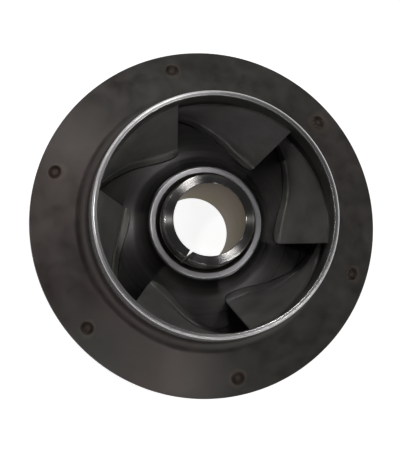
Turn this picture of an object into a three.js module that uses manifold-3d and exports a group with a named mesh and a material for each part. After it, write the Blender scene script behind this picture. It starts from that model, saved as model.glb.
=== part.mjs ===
// Closed mixed-flow impeller of a multistage well pump, welded from stainless sheet, with its slit sleeve.
// Millimetres, +Z up towards the suction side. The origin is the centre of the hub's lower end face.
import * as THREE from "three";
import { mergeVertices } from "three/addons/utils/BufferGeometryUtils.js";
import Module from "manifold-3d";

const wasm = await Module();
wasm.setup();

const rad = THREE.MathUtils.degToRad;

// Whole impeller
const BLADES = 6;
const FIRST_BLADE_ANGLE = rad(48);
const CLEARANCE = 0.3;
const ROUND_STEPS = 72;
const BEND_STEPS = 4;

// Front shroud: a cone that bends up into the neck
const RIM_RADIUS = 75;
const RIM_HEIGHT = 33;
const FRONT_SHEET = 2;
const FRONT_SLOPE = rad(21.5);
const FRONT_BEND_RADIUS = 8;
const NECK_RADIUS = 51.6;
const NECK_JOINT_HEIGHT = 55;

// Neck ring: the machined running face of the suction eye
const NECK_TOP = 67;
const NECK_RING_RADIUS = 52;
const NECK_RING_WALL = 2.4;
const NECK_RING_CHAMFER = 0.3;
const NECK_RING_INNER_CHAMFER = 0.7;

// Back shroud: a trumpet from the hub to its own smaller rim
const BACK_RIM_RADIUS = 69.3;
const BACK_SHEET = 2;
const BACK_SLOPE = rad(17);
const TRUMPET_BORE_RADIUS = 24.6;
const TRUMPET_TOP = 37.3;
const TRUMPET_BEND_RADIUS = 9;
const BACK_BAND_THICKNESS = 2.8;
const BACK_BAND_INNER_RADIUS = 43.6;
const BACK_BAND_OUTER_RADIUS = 60.8;
const BACK_BAND_FILLET = 2.4;
const BACK_BAND_CHAMFER = 0.6;

// Hub tube
const HUB_RADIUS = 24.3;
const HUB_TOP = 38.6;
const HUB_BORE_BOTTOM_RADIUS = 19.3;
const HUB_BORE_TOP_RADIUS = 20;
const HUB_CHAMFER = 0.7;
const HUB_COUNTERSINK = 1.3;

// Hub flange: the turned plate behind the trumpet, open in the middle with two flats
const FLANGE_RADIUS = 42.6;
const FLANGE_FACE_HEIGHT = 19.5;
const FLANGE_CHAMFER = 1;
const FLANGE_STOCK_INNER_RADIUS = 30;
const OPENING_HALF_FLAT = 31.5;
const OPENING_HALF_HEIGHT = 32.2;
const OPENING_ARC_RADIUS = 35.6;
const OPENING_ARC_STEPS = 12;

// Split sleeve in the hub bore
const SLEEVE_BORE_RADIUS = 15.5;
const SLEEVE_BOTTOM = 1.5;
const SLEEVE_TOP = 49;
const SLEEVE_LIP_RADIUS = 19.4;
const SLEEVE_CHAMFER = 0.35;
const SLIT_WIDTH = 1.4;
const SLIT_ANGLE = rad(240);

// Blades: a sheet ruled between a hub edge and a shroud edge, both folded over into tabs for welding.
// The hub edge is given by its radius at equal shares of its turn round the axis, from inlet to outlet.
// The shroud edge turns fastest at the inlet, and at the outlet it keeps a share of that rate.
const BLADE_THICKNESS = 1.6;
const BLADE_NOSE_SHARE = 0.5;
const BLADE_NOSE_LENGTH = 0.05;
const BLADE_NECK_START_HEIGHT = 59;
const HUB_EDGE_TURN = rad(99);
const HUB_EDGE_RADII = [34.8, 36.4, 42.3, 49.1, 55.3, 61.9, BACK_RIM_RADIUS];
const SHROUD_EDGE_TURN = rad(122);
const SHROUD_OUTLET_RATE_SHARE = 0.28;
const STREAM_STEPS = 20;
const SPAN_STEPS = 4;
const TRIM_ALLOWANCE = 0.06;
const TAB_WIDTH = 4;
const TAB_SHARES = [0.03, 0.97];
const SHROUD_TAB_SHARES = [0.55, 0.97];

// Weld spots that hold each blade's tabs to the two shrouds
const WELD_RADIUS = 2.9;
const WELD_DISH = 0.5;
const WELD_STEPS = 12;
const FRONT_WELD_SHARE = 0.93;
const BACK_WELD_SHARE = 0.625;

// Finishes
const FINISHES = {
  shroud: { color: 0x7d7776, roughness: 0.42, metalness: 1 },
  back: { color: 0x8f898b, roughness: 0.35, metalness: 1 },
  blade: { color: 0x777a73, roughness: 0.5, metalness: 1 },
  machined: { color: 0xc9c7c6, roughness: 0.25, metalness: 1 },
  sleeve: { color: 0xb7b5b2, roughness: 0.3, metalness: 1 },
  weld: { color: 0x5a463b, roughness: 0.6, metalness: 0.9 },
};

const point = (r, z) => new THREE.Vector2(r, z);

// Points of an arc about a centre in the radius and height plane, both ends included.
function arc(centre, radius, from, to) {
  const points = [];
  for (let i = 0; i <= BEND_STEPS; i++) {
    const a = THREE.MathUtils.lerp(from, to, i / BEND_STEPS);
    points.push(point(centre.x + radius * Math.cos(a), centre.y + radius * Math.sin(a)));
  }
  return points;
}

// Height of the front cone's upper face at a radius.
function frontConeHeight(radius) {
  return RIM_HEIGHT + (RIM_RADIUS - radius) * Math.tan(FRONT_SLOPE);
}

// Centre of the bend between the front cone's upper face and the neck's outside.
const frontBend = point(
  NECK_RADIUS + FRONT_BEND_RADIUS,
  frontConeHeight(NECK_RADIUS + FRONT_BEND_RADIUS) + FRONT_BEND_RADIUS / Math.cos(FRONT_SLOPE),
);

// The line that lies a depth below the front shroud's outer face, from the rim up to a height in the neck.
function frontLine(depth, top) {
  const radius = FRONT_BEND_RADIUS + depth;
  return [
    point(RIM_RADIUS, RIM_HEIGHT - depth / Math.cos(FRONT_SLOPE)),
    ...arc(frontBend, radius, 1.5 * Math.PI - FRONT_SLOPE, Math.PI),
    point(frontBend.x - radius, top),
  ];
}

const trumpetBend = point(TRUMPET_BORE_RADIUS + TRUMPET_BEND_RADIUS, TRUMPET_TOP);

// Height of the back cone at a radius, a depth below its flow face.
function backConeHeight(radius, depth) {
  const reach = TRUMPET_BEND_RADIUS + depth;
  return trumpetBend.y - reach / Math.cos(BACK_SLOPE) - (radius - trumpetBend.x) * Math.tan(BACK_SLOPE);
}

// The trumpet's bend a depth below its flow face, from the bore out to the cone.
function trumpetArc(depth) {
  const radius = TRUMPET_BEND_RADIUS + depth;
  const start = Math.acos(Math.min(1, TRUMPET_BEND_RADIUS / radius));
  return arc(trumpetBend, radius, Math.PI + start, 1.5 * Math.PI - BACK_SLOPE);
}

// A solid of revolution about Z from a section in the radius and height plane, listed anticlockwise.
function turned(section, steps = ROUND_STEPS) {
  return new THREE.LatheGeometry([...section, section[0]], steps).rotateX(Math.PI / 2);
}

// A closed geometry as a solid that can be joined and cut.
function solid(geometry) {
  const bare = geometry.clone();
  bare.deleteAttribute("normal");
  bare.deleteAttribute("uv");
  const merged = mergeVertices(bare);
  return new wasm.Manifold(
    new wasm.Mesh({
      numProp: 3,
      vertProperties: merged.getAttribute("position").array,
      triVerts: new Uint32Array(merged.index.array),
    }),
  );
}

// A cut or joined solid as a geometry.
function geometryOf(shape) {
  const mesh = shape.getMesh();
  const geometry = new THREE.BufferGeometry();
  geometry.setAttribute("position", new THREE.BufferAttribute(mesh.vertProperties, 3));
  geometry.setIndex(new THREE.BufferAttribute(mesh.triVerts, 1));
  geometry.computeVertexNormals();
  return geometry;
}

function cut(geometry, cutters) {
  return geometryOf(cutters.reduce((shape, cutter) => shape.subtract(solid(cutter)), solid(geometry)));
}

function named(name, geometry, finish) {
  const mesh = new THREE.Mesh(geometry, new THREE.MeshStandardMaterial(FINISHES[finish]));
  mesh.name = name;
  return mesh;
}

// The hub's flow face after a run down the back cone: where it is, and which way the passage lies from it.
function hubFace(run) {
  const radius = HUB_EDGE_RADII[0] + run * Math.cos(BACK_SLOPE);
  const lift = point(Math.sin(BACK_SLOPE), Math.cos(BACK_SLOPE));
  return { radius, height: backConeHeight(radius, 0), lift };
}

const frontInnerBend = FRONT_BEND_RADIUS + FRONT_SHEET;
const neckRun = BLADE_NECK_START_HEIGHT - frontBend.y;
const bendRun = frontInnerBend * (Math.PI / 2 - FRONT_SLOPE);
const coneStart = frontBend.x - frontInnerBend * Math.sin(FRONT_SLOPE);
const shroudRun = neckRun + bendRun + (RIM_RADIUS - coneStart) / Math.cos(FRONT_SLOPE);

// The shroud's inner face after a run down the neck, round the bend and out along the cone.
function shroudFace(run) {
  const bent = Math.PI + THREE.MathUtils.clamp(run - neckRun, 0, bendRun) / frontInnerBend;
  const lift = point(Math.cos(bent), Math.sin(bent));
  const straight = run < neckRun ? neckRun - run : Math.max(0, run - neckRun - bendRun);
  const outward = run < neckRun ? point(0, 1) : point(Math.cos(FRONT_SLOPE), -Math.sin(FRONT_SLOPE));
  return {
    radius: frontBend.x + frontInnerBend * lift.x + straight * outward.x,
    height: frontBend.y + frontInnerBend * lift.y + straight * outward.y,
    lift,
  };
}

const hubRuns = HUB_EDGE_RADII.map((radius) => (radius - HUB_EDGE_RADII[0]) / Math.cos(BACK_SLOPE));
const hubLine = new THREE.SplineCurve(hubRuns.map((run, i) => point(i / (hubRuns.length - 1), run)));

// The hub edge's angle and run at a share of its turn, carried straight on past its end.
function hubEdge(share) {
  const run = hubLine.getPoint(THREE.MathUtils.clamp(share, 0, 1)).y;
  const endRate = (hubRuns.at(-1) - hubRuns.at(-2)) * (hubRuns.length - 1);
  return point(HUB_EDGE_TURN * share, run + endRate * Math.max(0, share - 1));
}

// The shroud edge's angle and run at a share of its turn. Its rate of turn falls evenly along its run.
function shroudEdge(share) {
  const left = 1 - (1 - SHROUD_OUTLET_RATE_SHARE ** 2) * share;
  const runShare = (1 - Math.sqrt(Math.max(0, left))) / (1 - SHROUD_OUTLET_RATE_SHARE);
  return point(SHROUD_EDGE_TURN * share, shroudRun * runShare);
}

function around(radius, height, angle) {
  return new THREE.Vector3(radius * Math.cos(angle), radius * Math.sin(angle), height);
}

// A point of the camber sheet: a share from inlet to outlet, and a share from hub to shroud.
function camber(stream, span) {
  const hub = hubEdge(stream);
  const shroud = shroudEdge(stream);
  const low = hubFace(hub.y);
  const high = shroudFace(shroud.y);
  const mix = (a, b) => THREE.MathUtils.lerp(a, b, span);
  return around(mix(low.radius, high.radius), mix(low.height, high.height), mix(hub.x, shroud.x));
}

function camberNormal(stream, span) {
  const step = 1e-3;
  const from = Math.max(stream, step);
  const along = camber(from + step, span).sub(camber(from - step, span));
  const across = camber(stream, span + step).sub(camber(stream, span - step));
  return across.cross(along).normalize();
}

// A closed plate between two grids of points, the top one on the side of across times along.
function plate(rows, columns, top, bottom) {
  const positions = [];
  for (const face of [top, bottom]) {
    for (let i = 0; i <= rows; i++) {
      for (let j = 0; j <= columns; j++) positions.push(...face(i / rows, j / columns).toArray());
    }
  }
  const upper = (i, j) => i * (columns + 1) + j;
  const lower = (i, j) => (rows + 1) * (columns + 1) + upper(i, j);
  const index = [];
  const quad = (a, b, c, d) => index.push(a, b, c, a, c, d);
  for (let i = 0; i < rows; i++) {
    for (let j = 0; j < columns; j++) {
      quad(upper(i, j), upper(i, j + 1), upper(i + 1, j + 1), upper(i + 1, j));
      quad(lower(i, j), lower(i + 1, j), lower(i + 1, j + 1), lower(i, j + 1));
    }
    quad(upper(i, 0), upper(i + 1, 0), lower(i + 1, 0), lower(i, 0));
    quad(upper(i, columns), lower(i, columns), lower(i + 1, columns), upper(i + 1, columns));
  }
  for (let j = 0; j < columns; j++) {
    quad(upper(0, j), lower(0, j), lower(0, j + 1), upper(0, j + 1));
    quad(upper(rows, j), upper(rows, j + 1), lower(rows, j + 1), lower(rows, j));
  }
  const geometry = new THREE.BufferGeometry();
  geometry.setAttribute("position", new THREE.Float32BufferAttribute(positions, 3));
  geometry.setIndex(index);
  return geometry;
}

// One blade's sheet before trimming, a little longer and wider than the passage, thinner at its inlet edge.
function bladeSheet() {
  const face = (side) => (i, j) => {
    const stream = (1 + TRIM_ALLOWANCE) * i;
    const span = (1 + 2 * TRIM_ALLOWANCE) * j - TRIM_ALLOWANCE;
    const nose = Math.min(1, BLADE_NOSE_SHARE + ((1 - BLADE_NOSE_SHARE) * stream) / BLADE_NOSE_LENGTH);
    const offset = camberNormal(stream, span).multiplyScalar((side * nose * BLADE_THICKNESS) / 2);
    return camber(stream, span).add(offset);
  };
  return plate(STREAM_STEPS, SPAN_STEPS, face(1), face(-1));
}

// A place on a tab, a width from the fold towards the axis, as an angle and a run on the face it lies on.
function tabPlace(edge, face, share, width) {
  const step = 1e-3;
  const here = edge(share);
  const next = edge(share + step).sub(here);
  const radius = face(here.y).radius;
  const length = Math.hypot(next.y, radius * next.x);
  return point(here.x + (width * next.y) / length / radius, here.y - (width * radius * next.x) / length);
}

// A tab before trimming: a strip along the fold, from under the face it lies on to a sheet's thickness above.
function bladeTab(edge, face, [from, to], top, bottom) {
  const surface = (lift) => (i, j) => {
    const width = THREE.MathUtils.lerp(-BLADE_THICKNESS / 2, TAB_WIDTH, j);
    const place = tabPlace(edge, face, THREE.MathUtils.lerp(from, to, i), width);
    const spot = face(place.y);
    return around(spot.radius + lift * spot.lift.x, spot.height + lift * spot.lift.y, place.x);
  };
  return plate(STREAM_STEPS, 1, surface(top), surface(bottom));
}

// The water passage between the shrouds, kept clear of both, which trims every blade's edges.
function passage() {
  const shroudSide = frontLine(FRONT_SHEET + CLEARANCE, NECK_TOP);
  const hubSide = trumpetArc(-CLEARANCE);
  return turned([
    ...hubSide,
    point(BACK_RIM_RADIUS, backConeHeight(BACK_RIM_RADIUS, -CLEARANCE)),
    ...shroudSide,
    point(hubSide[0].x, NECK_TOP),
  ]);
}

function bladeGeometry() {
  const above = CLEARANCE + BLADE_THICKNESS;
  const below = -BLADE_THICKNESS;
  return geometryOf(
    solid(bladeSheet())
      .add(solid(bladeTab(hubEdge, hubFace, TAB_SHARES, below, above)))
      .add(solid(bladeTab(shroudEdge, shroudFace, SHROUD_TAB_SHARES, above, below)))
      .intersect(solid(passage())),
  );
}

// A weld spot: a short plug with a dished outer face, its axis along Z and its outer rim at zero.
function weldGeometry(length) {
  return turned(
    [
      point(0, -length),
      point(WELD_RADIUS, -length),
      point(WELD_RADIUS, -0.2 * WELD_DISH),
      point(0.8 * WELD_RADIUS, 0),
      point(0.45 * WELD_RADIUS, -WELD_DISH),
      point(0, -0.8 * WELD_DISH),
    ],
    WELD_STEPS,
  );
}

// The frame of a weld spot: on a cone, at a radius and an angle, with its axis square to the sheet.
function weldFrame(radius, height, tilt, angle) {
  const turnRound = new THREE.Matrix4().makeRotationZ(angle);
  const place = new THREE.Matrix4().makeTranslation(radius, 0, height);
  const lean = new THREE.Matrix4().makeRotationY(tilt);
  return turnRound.multiply(place).multiply(lean);
}

const bladeAngles = Array.from({ length: BLADES }, (_, i) => FIRST_BLADE_ANGLE + (2 * Math.PI * i) / BLADES);
const frontWeldPlace = tabPlace(shroudEdge, shroudFace, FRONT_WELD_SHARE, TAB_WIDTH / 2);
const frontWeldRadius = shroudFace(frontWeldPlace.y).radius;
const frontWeldFrames = bladeAngles.map((angle) =>
  weldFrame(frontWeldRadius, frontConeHeight(frontWeldRadius), FRONT_SLOPE, angle + frontWeldPlace.x),
);
const backWeldPlace = tabPlace(hubEdge, hubFace, BACK_WELD_SHARE, TAB_WIDTH / 2);
const backWeldRadius = hubFace(backWeldPlace.y).radius;
const backWeldHeight = backConeHeight(backWeldRadius, BACK_BAND_THICKNESS);
const backWeldFrames = bladeAngles.map((angle) =>
  weldFrame(backWeldRadius, backWeldHeight, BACK_SLOPE + Math.PI, angle + backWeldPlace.x),
);

function weldHole(frame) {
  const depth = 4 * BACK_BAND_THICKNESS;
  return new THREE.CylinderGeometry(WELD_RADIUS + CLEARANCE, WELD_RADIUS + CLEARANCE, depth, WELD_STEPS)
    .rotateX(Math.PI / 2)
    .applyMatrix4(frame);
}

function frontShroud() {
  const outside = frontLine(0, NECK_JOINT_HEIGHT - CLEARANCE);
  const inside = frontLine(FRONT_SHEET, NECK_JOINT_HEIGHT - CLEARANCE);
  return cut(turned([...outside, ...inside.reverse()]), frontWeldFrames.map(weldHole));
}

function neckRing() {
  const inner = NECK_RING_RADIUS - NECK_RING_WALL;
  return turned([
    point(inner, NECK_JOINT_HEIGHT),
    point(NECK_RING_RADIUS, NECK_JOINT_HEIGHT),
    point(NECK_RING_RADIUS, NECK_TOP - NECK_RING_CHAMFER),
    point(NECK_RING_RADIUS - NECK_RING_CHAMFER, NECK_TOP),
    point(inner + NECK_RING_INNER_CHAMFER, NECK_TOP),
    point(inner, NECK_TOP - NECK_RING_INNER_CHAMFER),
  ]);
}

function backShroud() {
  const under = (radius, depth) => point(radius, backConeHeight(radius, depth));
  const filletDepth = (BACK_SHEET + BACK_BAND_THICKNESS) / 2;
  const section = [
    ...trumpetArc(BACK_SHEET),
    under(BACK_BAND_INNER_RADIUS, BACK_SHEET),
    under(BACK_BAND_INNER_RADIUS + BACK_BAND_FILLET / 4, filletDepth),
    under(BACK_BAND_INNER_RADIUS + BACK_BAND_FILLET, BACK_BAND_THICKNESS),
    under(BACK_BAND_OUTER_RADIUS - BACK_BAND_CHAMFER, BACK_BAND_THICKNESS),
    under(BACK_BAND_OUTER_RADIUS, BACK_SHEET),
    under(BACK_RIM_RADIUS, BACK_SHEET),
    under(BACK_RIM_RADIUS, 0),
    ...trumpetArc(0).reverse(),
  ];
  return cut(turned(section), backWeldFrames.map(weldHole));
}

function hub() {
  return turned([
    point(HUB_BORE_BOTTOM_RADIUS, 0),
    point(HUB_RADIUS - HUB_CHAMFER, 0),
    point(HUB_RADIUS, HUB_CHAMFER),
    point(HUB_RADIUS, HUB_TOP - HUB_CHAMFER),
    point(HUB_RADIUS - HUB_CHAMFER, HUB_TOP),
    point(HUB_BORE_TOP_RADIUS + HUB_COUNTERSINK, HUB_TOP),
    point(HUB_BORE_TOP_RADIUS, HUB_TOP - HUB_COUNTERSINK),
  ]);
}

// The flange's opening: two flats left and right, joined by shallow arcs, all grown by an allowance.
function openingOutline(allowance) {
  const centre = OPENING_ARC_RADIUS - OPENING_HALF_HEIGHT;
  const radius = OPENING_ARC_RADIUS + allowance;
  const sweep = Math.asin((OPENING_HALF_FLAT + allowance) / radius);
  const points = [];
  for (const side of [1, -1]) {
    for (let i = 0; i <= OPENING_ARC_STEPS; i++) {
      const a = THREE.MathUtils.lerp(sweep, -sweep, i / OPENING_ARC_STEPS);
      points.push(new THREE.Vector2(side * radius * Math.sin(a), side * (radius * Math.cos(a) - centre)));
    }
  }
  return points;
}

function openingCutter(bottom, top, allowance) {
  const outline = new THREE.Shape(openingOutline(allowance));
  const settings = { depth: top - bottom, bevelEnabled: false };
  return new THREE.ExtrudeGeometry(outline, settings).translate(0, 0, bottom);
}

function hubFlange() {
  const seat = BACK_SHEET + CLEARANCE;
  const stock = turned([
    point(FLANGE_STOCK_INNER_RADIUS, FLANGE_FACE_HEIGHT),
    point(FLANGE_RADIUS - FLANGE_CHAMFER, FLANGE_FACE_HEIGHT),
    point(FLANGE_RADIUS, FLANGE_FACE_HEIGHT + FLANGE_CHAMFER),
    point(FLANGE_RADIUS, backConeHeight(FLANGE_RADIUS, seat)),
    point(FLANGE_STOCK_INNER_RADIUS, backConeHeight(FLANGE_STOCK_INNER_RADIUS, seat)),
  ]);
  const opening = openingCutter(0, HUB_TOP, 0);
  const counterbore = openingCutter(0, FLANGE_FACE_HEIGHT + FLANGE_CHAMFER, FLANGE_CHAMFER);
  return cut(stock, [opening, counterbore]);
}

function splitSleeve() {
  const topFit = HUB_BORE_TOP_RADIUS - CLEARANCE;
  const body = turned([
    point(SLEEVE_BORE_RADIUS, SLEEVE_BOTTOM),
    point(HUB_BORE_BOTTOM_RADIUS - CLEARANCE, SLEEVE_BOTTOM),
    point(topFit, HUB_TOP),
    point(SLEEVE_LIP_RADIUS, HUB_TOP + topFit - SLEEVE_LIP_RADIUS),
    point(SLEEVE_LIP_RADIUS, SLEEVE_TOP - SLEEVE_CHAMFER),
    point(SLEEVE_LIP_RADIUS - SLEEVE_CHAMFER, SLEEVE_TOP),
    point(SLEEVE_BORE_RADIUS + SLEEVE_CHAMFER, SLEEVE_TOP),
    point(SLEEVE_BORE_RADIUS, SLEEVE_TOP - SLEEVE_CHAMFER),
  ]);
  const slit = new THREE.BoxGeometry(HUB_RADIUS, SLIT_WIDTH, 2 * SLEEVE_TOP)
    .translate(HUB_RADIUS / 2, 0, SLEEVE_TOP)
    .rotateZ(SLIT_ANGLE);
  return cut(body, [slit]);
}

const impeller = new THREE.Group();
impeller.add(named("neck_ring", neckRing(), "machined"));
impeller.add(named("front_shroud", frontShroud(), "shroud"));
impeller.add(named("back_shroud", backShroud(), "back"));
impeller.add(named("hub", hub(), "machined"));
impeller.add(named("hub_flange", hubFlange(), "back"));
impeller.add(named("split_sleeve", splitSleeve(), "sleeve"));

const blade = bladeGeometry();
const frontWeld = weldGeometry(FRONT_SHEET);
const backWeld = weldGeometry(BACK_BAND_THICKNESS);
bladeAngles.forEach((angle, i) => {
  const bladeMesh = named(`blade_${i + 1}`, blade, "blade");
  bladeMesh.rotation.z = angle;
  const frontMesh = named(`front_weld_${i + 1}`, frontWeld, "weld");
  frontMesh.applyMatrix4(frontWeldFrames[i]);
  const backMesh = named(`back_weld_${i + 1}`, backWeld, "weld");
  backMesh.applyMatrix4(backWeldFrames[i]);
  impeller.add(bladeMesh, frontMesh, backMesh);
});

export default impeller;
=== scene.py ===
"""Looks of a closed, welded stainless pump impeller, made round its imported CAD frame.

Metres, with +Z up towards the suction side and the origin at the centre of the hub's lower end face.
"""
import logging
import math
from collections.abc import Callable, Mapping, Sequence
from dataclasses import dataclass, field
from enum import Enum, IntEnum
from typing import Protocol

import bmesh
import bpy
import numpy as np
from mathutils import Matrix, Vector


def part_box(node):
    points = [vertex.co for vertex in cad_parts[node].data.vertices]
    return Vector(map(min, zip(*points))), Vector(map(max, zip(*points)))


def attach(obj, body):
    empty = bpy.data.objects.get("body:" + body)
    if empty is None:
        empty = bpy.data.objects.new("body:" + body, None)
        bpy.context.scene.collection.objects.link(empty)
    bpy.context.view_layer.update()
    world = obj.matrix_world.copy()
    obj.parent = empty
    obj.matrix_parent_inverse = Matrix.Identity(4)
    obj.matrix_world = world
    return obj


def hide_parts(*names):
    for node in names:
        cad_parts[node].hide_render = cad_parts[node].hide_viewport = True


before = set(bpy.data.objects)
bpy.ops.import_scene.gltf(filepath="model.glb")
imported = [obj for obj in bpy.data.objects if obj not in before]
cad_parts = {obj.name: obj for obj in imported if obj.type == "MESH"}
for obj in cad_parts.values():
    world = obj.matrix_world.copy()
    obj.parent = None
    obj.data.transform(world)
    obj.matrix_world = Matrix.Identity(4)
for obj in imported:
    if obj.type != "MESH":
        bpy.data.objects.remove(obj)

log = logging.getLogger("impeller")

MM = 0.001
FULL_TURN = 2 * math.pi
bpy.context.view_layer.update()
BODY = "root"
BLADES = 6
FIRST_BLADE_ANGLE = math.radians(48)
TURNED_UV = "turned"

# How finely round shapes are cut up, and the angle from which an edge is sharp
ROUND_STEPS = 360
BEND_STEPS = 20
SHARP_ANGLE = math.radians(38)

# A rounding's coarsest chord, its fewest chords, the share of a side that it may take,
# the half angle from which a corner counts as straight, and the point that keeps the flat beside it flat
ROUNDING_CHORD = math.radians(15)
ROUNDING_CHORDS = 2
ROUNDING_SHARE = 0.4
STRAIGHT_HALF = math.radians(89)
KEEPER = 0.15 * MM
KEEPER_SHARE = 0.1

Colour = tuple[float, float, float]
Span = tuple[float, float]
Socket = bpy.types.NodeSocket
Value = float | Socket
Input = Value | Colour


def top(node: str) -> float:
    """Height of a CAD node's highest point."""
    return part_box(node)[1].z


def bottom(node: str) -> float:
    """Height of a CAD node's lowest point."""
    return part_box(node)[0].z


def reach(node: str) -> float:
    """Outer radius of a turned CAD node."""
    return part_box(node)[1].x


def measured(measure: Callable[[str], float], node: str) -> float:
    """A dataclass field that is measured on a CAD node when its class is set up."""
    return field(default_factory=lambda: measure(node))


def circle(steps: int) -> np.ndarray:
    """Evenly spaced angles, once round."""
    return np.arange(steps) * FULL_TURN / steps


def around(radius: float, height: float, angle: float) -> np.ndarray:
    """A point at a radius, a height and an angle round the shaft axis."""
    return np.array([radius * math.cos(angle), radius * math.sin(angle), height])


# Sections in the radius and height plane


@dataclass(frozen=True)
class Corner:
    """A corner of a turned section.

    Args:
        radius: its distance from the shaft axis.
        height: its height.
        rounding: the radius that it is rounded to.
    """

    radius: float
    height: float
    rounding: float = 0.0

    @property
    def place(self) -> np.ndarray:
        """The corner as a point of radius and height."""
        return np.array([self.radius, self.height])


def arc(centre: tuple[float, float], radius: float, start: float, end: float) -> list[Corner]:
    """Corners along an arc in the radius and height plane.

    Args:
        centre: radius and height of the arc's centre.
        radius: the arc's own radius.
        start: the first corner's direction from the centre, in radians.
        end: the last corner's direction.

    Returns:
        The corners at the ends of its chords, with no rounding.
    """
    turns = np.linspace(start, end, BEND_STEPS + 1)
    return [Corner(centre[0] + radius * math.cos(t), centre[1] + radius * math.sin(t)) for t in turns]


def rounded(corners: Sequence[Corner]) -> np.ndarray:
    """The points of a closed section with its corners rounded.

    A point close to both ends of each rounding keeps the flats between them flat when they are shaded.

    Args:
        corners: the section's corners, in order.

    Returns:
        An array of radius and height, one row for each point.
    """
    points: list[np.ndarray] = []
    for i, corner in enumerate(corners):
        here = corner.place
        back, on = corners[i - 1].place - here, corners[(i + 1) % len(corners)].place - here
        back_length, on_length = np.linalg.norm(back), np.linalg.norm(on)
        back, on = back / back_length, on / on_length
        half = math.acos(float(np.clip(back @ on, -1, 1))) / 2
        if corner.rounding <= 0 or half > STRAIGHT_HALF:
            points.append(here)
            continue
        shorter = min(back_length, on_length)
        tangent = min(corner.rounding / math.tan(half), ROUNDING_SHARE * shorter)
        radius = tangent * math.tan(half)
        centre = here + (back + on) / np.linalg.norm(back + on) * radius / math.sin(half)
        first, last = here + back * tangent, here + on * tangent
        keep = min(KEEPER, KEEPER_SHARE * shorter)
        start = math.atan2(*(first - centre)[::-1])
        sweep = (math.atan2(*(last - centre)[::-1]) - start + math.pi) % FULL_TURN - math.pi
        chords = max(ROUNDING_CHORDS, math.ceil(abs(sweep) / ROUNDING_CHORD))
        points.append(first + back * keep)
        for k in range(chords + 1):
            turn = start + sweep * k / chords
            points.append(centre + radius * np.array([math.cos(turn), math.sin(turn)]))
        points.append(last + on * keep)
    return np.array(points)


# Meshes


def swept(name: str, rings: np.ndarray, closed: bool = True) -> bpy.types.Object:
    """A closed section carried round the axis as a mesh, with a UV map that follows the turning.

    Args:
        name: the object's name.
        rings: points by step, by place in the section, and by axis. The section runs anticlockwise.
        closed: False where the first and last rings are ends of their own, which are then capped.

    Returns:
        The new object, smooth but for its sharp edges.
    """
    steps, count, _ = rings.shape
    along = np.linalg.norm(np.diff(rings[0], axis=0, append=rings[0][:1]), axis=1)
    reached = np.concatenate([[0], np.cumsum(along)])
    faces, uvs = [], []
    spans = steps if closed else steps - 1
    for i in range(spans):
        for j in range(count):
            a, b = i * count, (i + 1) % steps * count
            k = (j + 1) % count
            faces.append((a + j, b + j, b + k, a + k))
            for u, v in ((i, j), (i + 1, j), (i + 1, j + 1), (i, j + 1)):
                uvs.append((u / spans, reached[v]))
    if not closed:
        faces.append(tuple(range(count)))
        faces.append(tuple(reversed(range((steps - 1) * count, steps * count))))
        uvs.extend([(0, v) for v in reached[:-1]] + [(1, v) for v in reversed(reached[:-1])])
    mesh = bpy.data.meshes.new(name)
    mesh.from_pydata(rings.reshape(-1, 3).tolist(), [], faces)
    layer = mesh.uv_layers.new(name=TURNED_UV)
    layer.data.foreach_set("uv", np.array(uvs, np.float32).ravel())
    return shown(name, mesh)


def shown(name: str, mesh: bpy.types.Mesh) -> bpy.types.Object:
    """A mesh as an object of the scene.

    Args:
        name: the object's name.
        mesh: its mesh.

    Returns:
        The new object, smooth but for its sharp edges.
    """
    mesh.validate()
    mesh.shade_smooth()
    mesh.set_sharp_from_angle(angle=SHARP_ANGLE)
    made = bpy.data.objects.new(name, mesh)
    bpy.context.scene.collection.objects.link(made)
    return made


def from_bmesh(name: str, build: bmesh.types.BMesh) -> bpy.types.Object:
    """A bmesh as an object of the scene. The bmesh is freed.

    Args:
        name: the object's name.
        build: the finished bmesh.

    Returns:
        The new object, smooth but for its sharp edges.
    """
    mesh = bpy.data.meshes.new(name)
    build.to_mesh(mesh)
    build.free()
    return shown(name, mesh)


def ringed(section: np.ndarray, turns: np.ndarray) -> np.ndarray:
    """A section set at each of some angles round the shaft axis.

    Args:
        section: radius and height by place, or by ring and place.
        turns: the angle of each ring, or of each place in each ring.

    Returns:
        Points by ring, by place in the section, and by axis.
    """
    if turns.ndim == 1:
        turns = turns[:, None]
    radius, height = section[..., 0], section[..., 1]
    return np.stack(np.broadcast_arrays(radius * np.cos(turns), radius * np.sin(turns), height), axis=-1)


def turned(name: str, section: np.ndarray) -> bpy.types.Object:
    """A section of radius and height, turned once round the shaft axis."""
    return swept(name, ringed(section, circle(ROUND_STEPS)))


def settled(made: bpy.types.Object) -> bpy.types.Object:
    """Turns what an object's modifiers make into a plain mesh.

    Args:
        made: the object, which is in the scene.

    Returns:
        The same object, with no modifier left.
    """
    graph = bpy.context.evaluated_depsgraph_get()
    mesh = bpy.data.meshes.new_from_object(
        made.evaluated_get(graph), preserve_all_data_layers=True, depsgraph=graph
    )
    made.modifiers.clear()
    made.data = mesh
    mesh.name = made.name
    return made


def cut(made: bpy.types.Object, cutters: Sequence[bpy.types.Object]) -> bpy.types.Object:
    """The object with the cutters' volumes taken out. The cutters are removed.

    Args:
        made: the object to cut.
        cutters: closed objects that overlap it.

    Returns:
        The same object, as a plain mesh.
    """
    for cutter in cutters:
        step = made.modifiers.new("cut", "BOOLEAN")
        step.operation = "DIFFERENCE"
        step.solver = "EXACT"
        step.object = cutter
    settled(made)
    for cutter in cutters:
        bpy.data.objects.remove(cutter)
    made.data.set_sharp_from_angle(angle=SHARP_ANGLE)
    return made


class Finish(Protocol):
    """Anything that makes a material."""

    def material(self) -> bpy.types.Material:
        """Builds the material."""


def coat(made: bpy.types.Object, *finishes: Finish) -> None:
    """Gives a piece its finishes. The first covers it all until some faces get another."""
    for finish in finishes:
        made.data.materials.append(finish.material())


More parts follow.
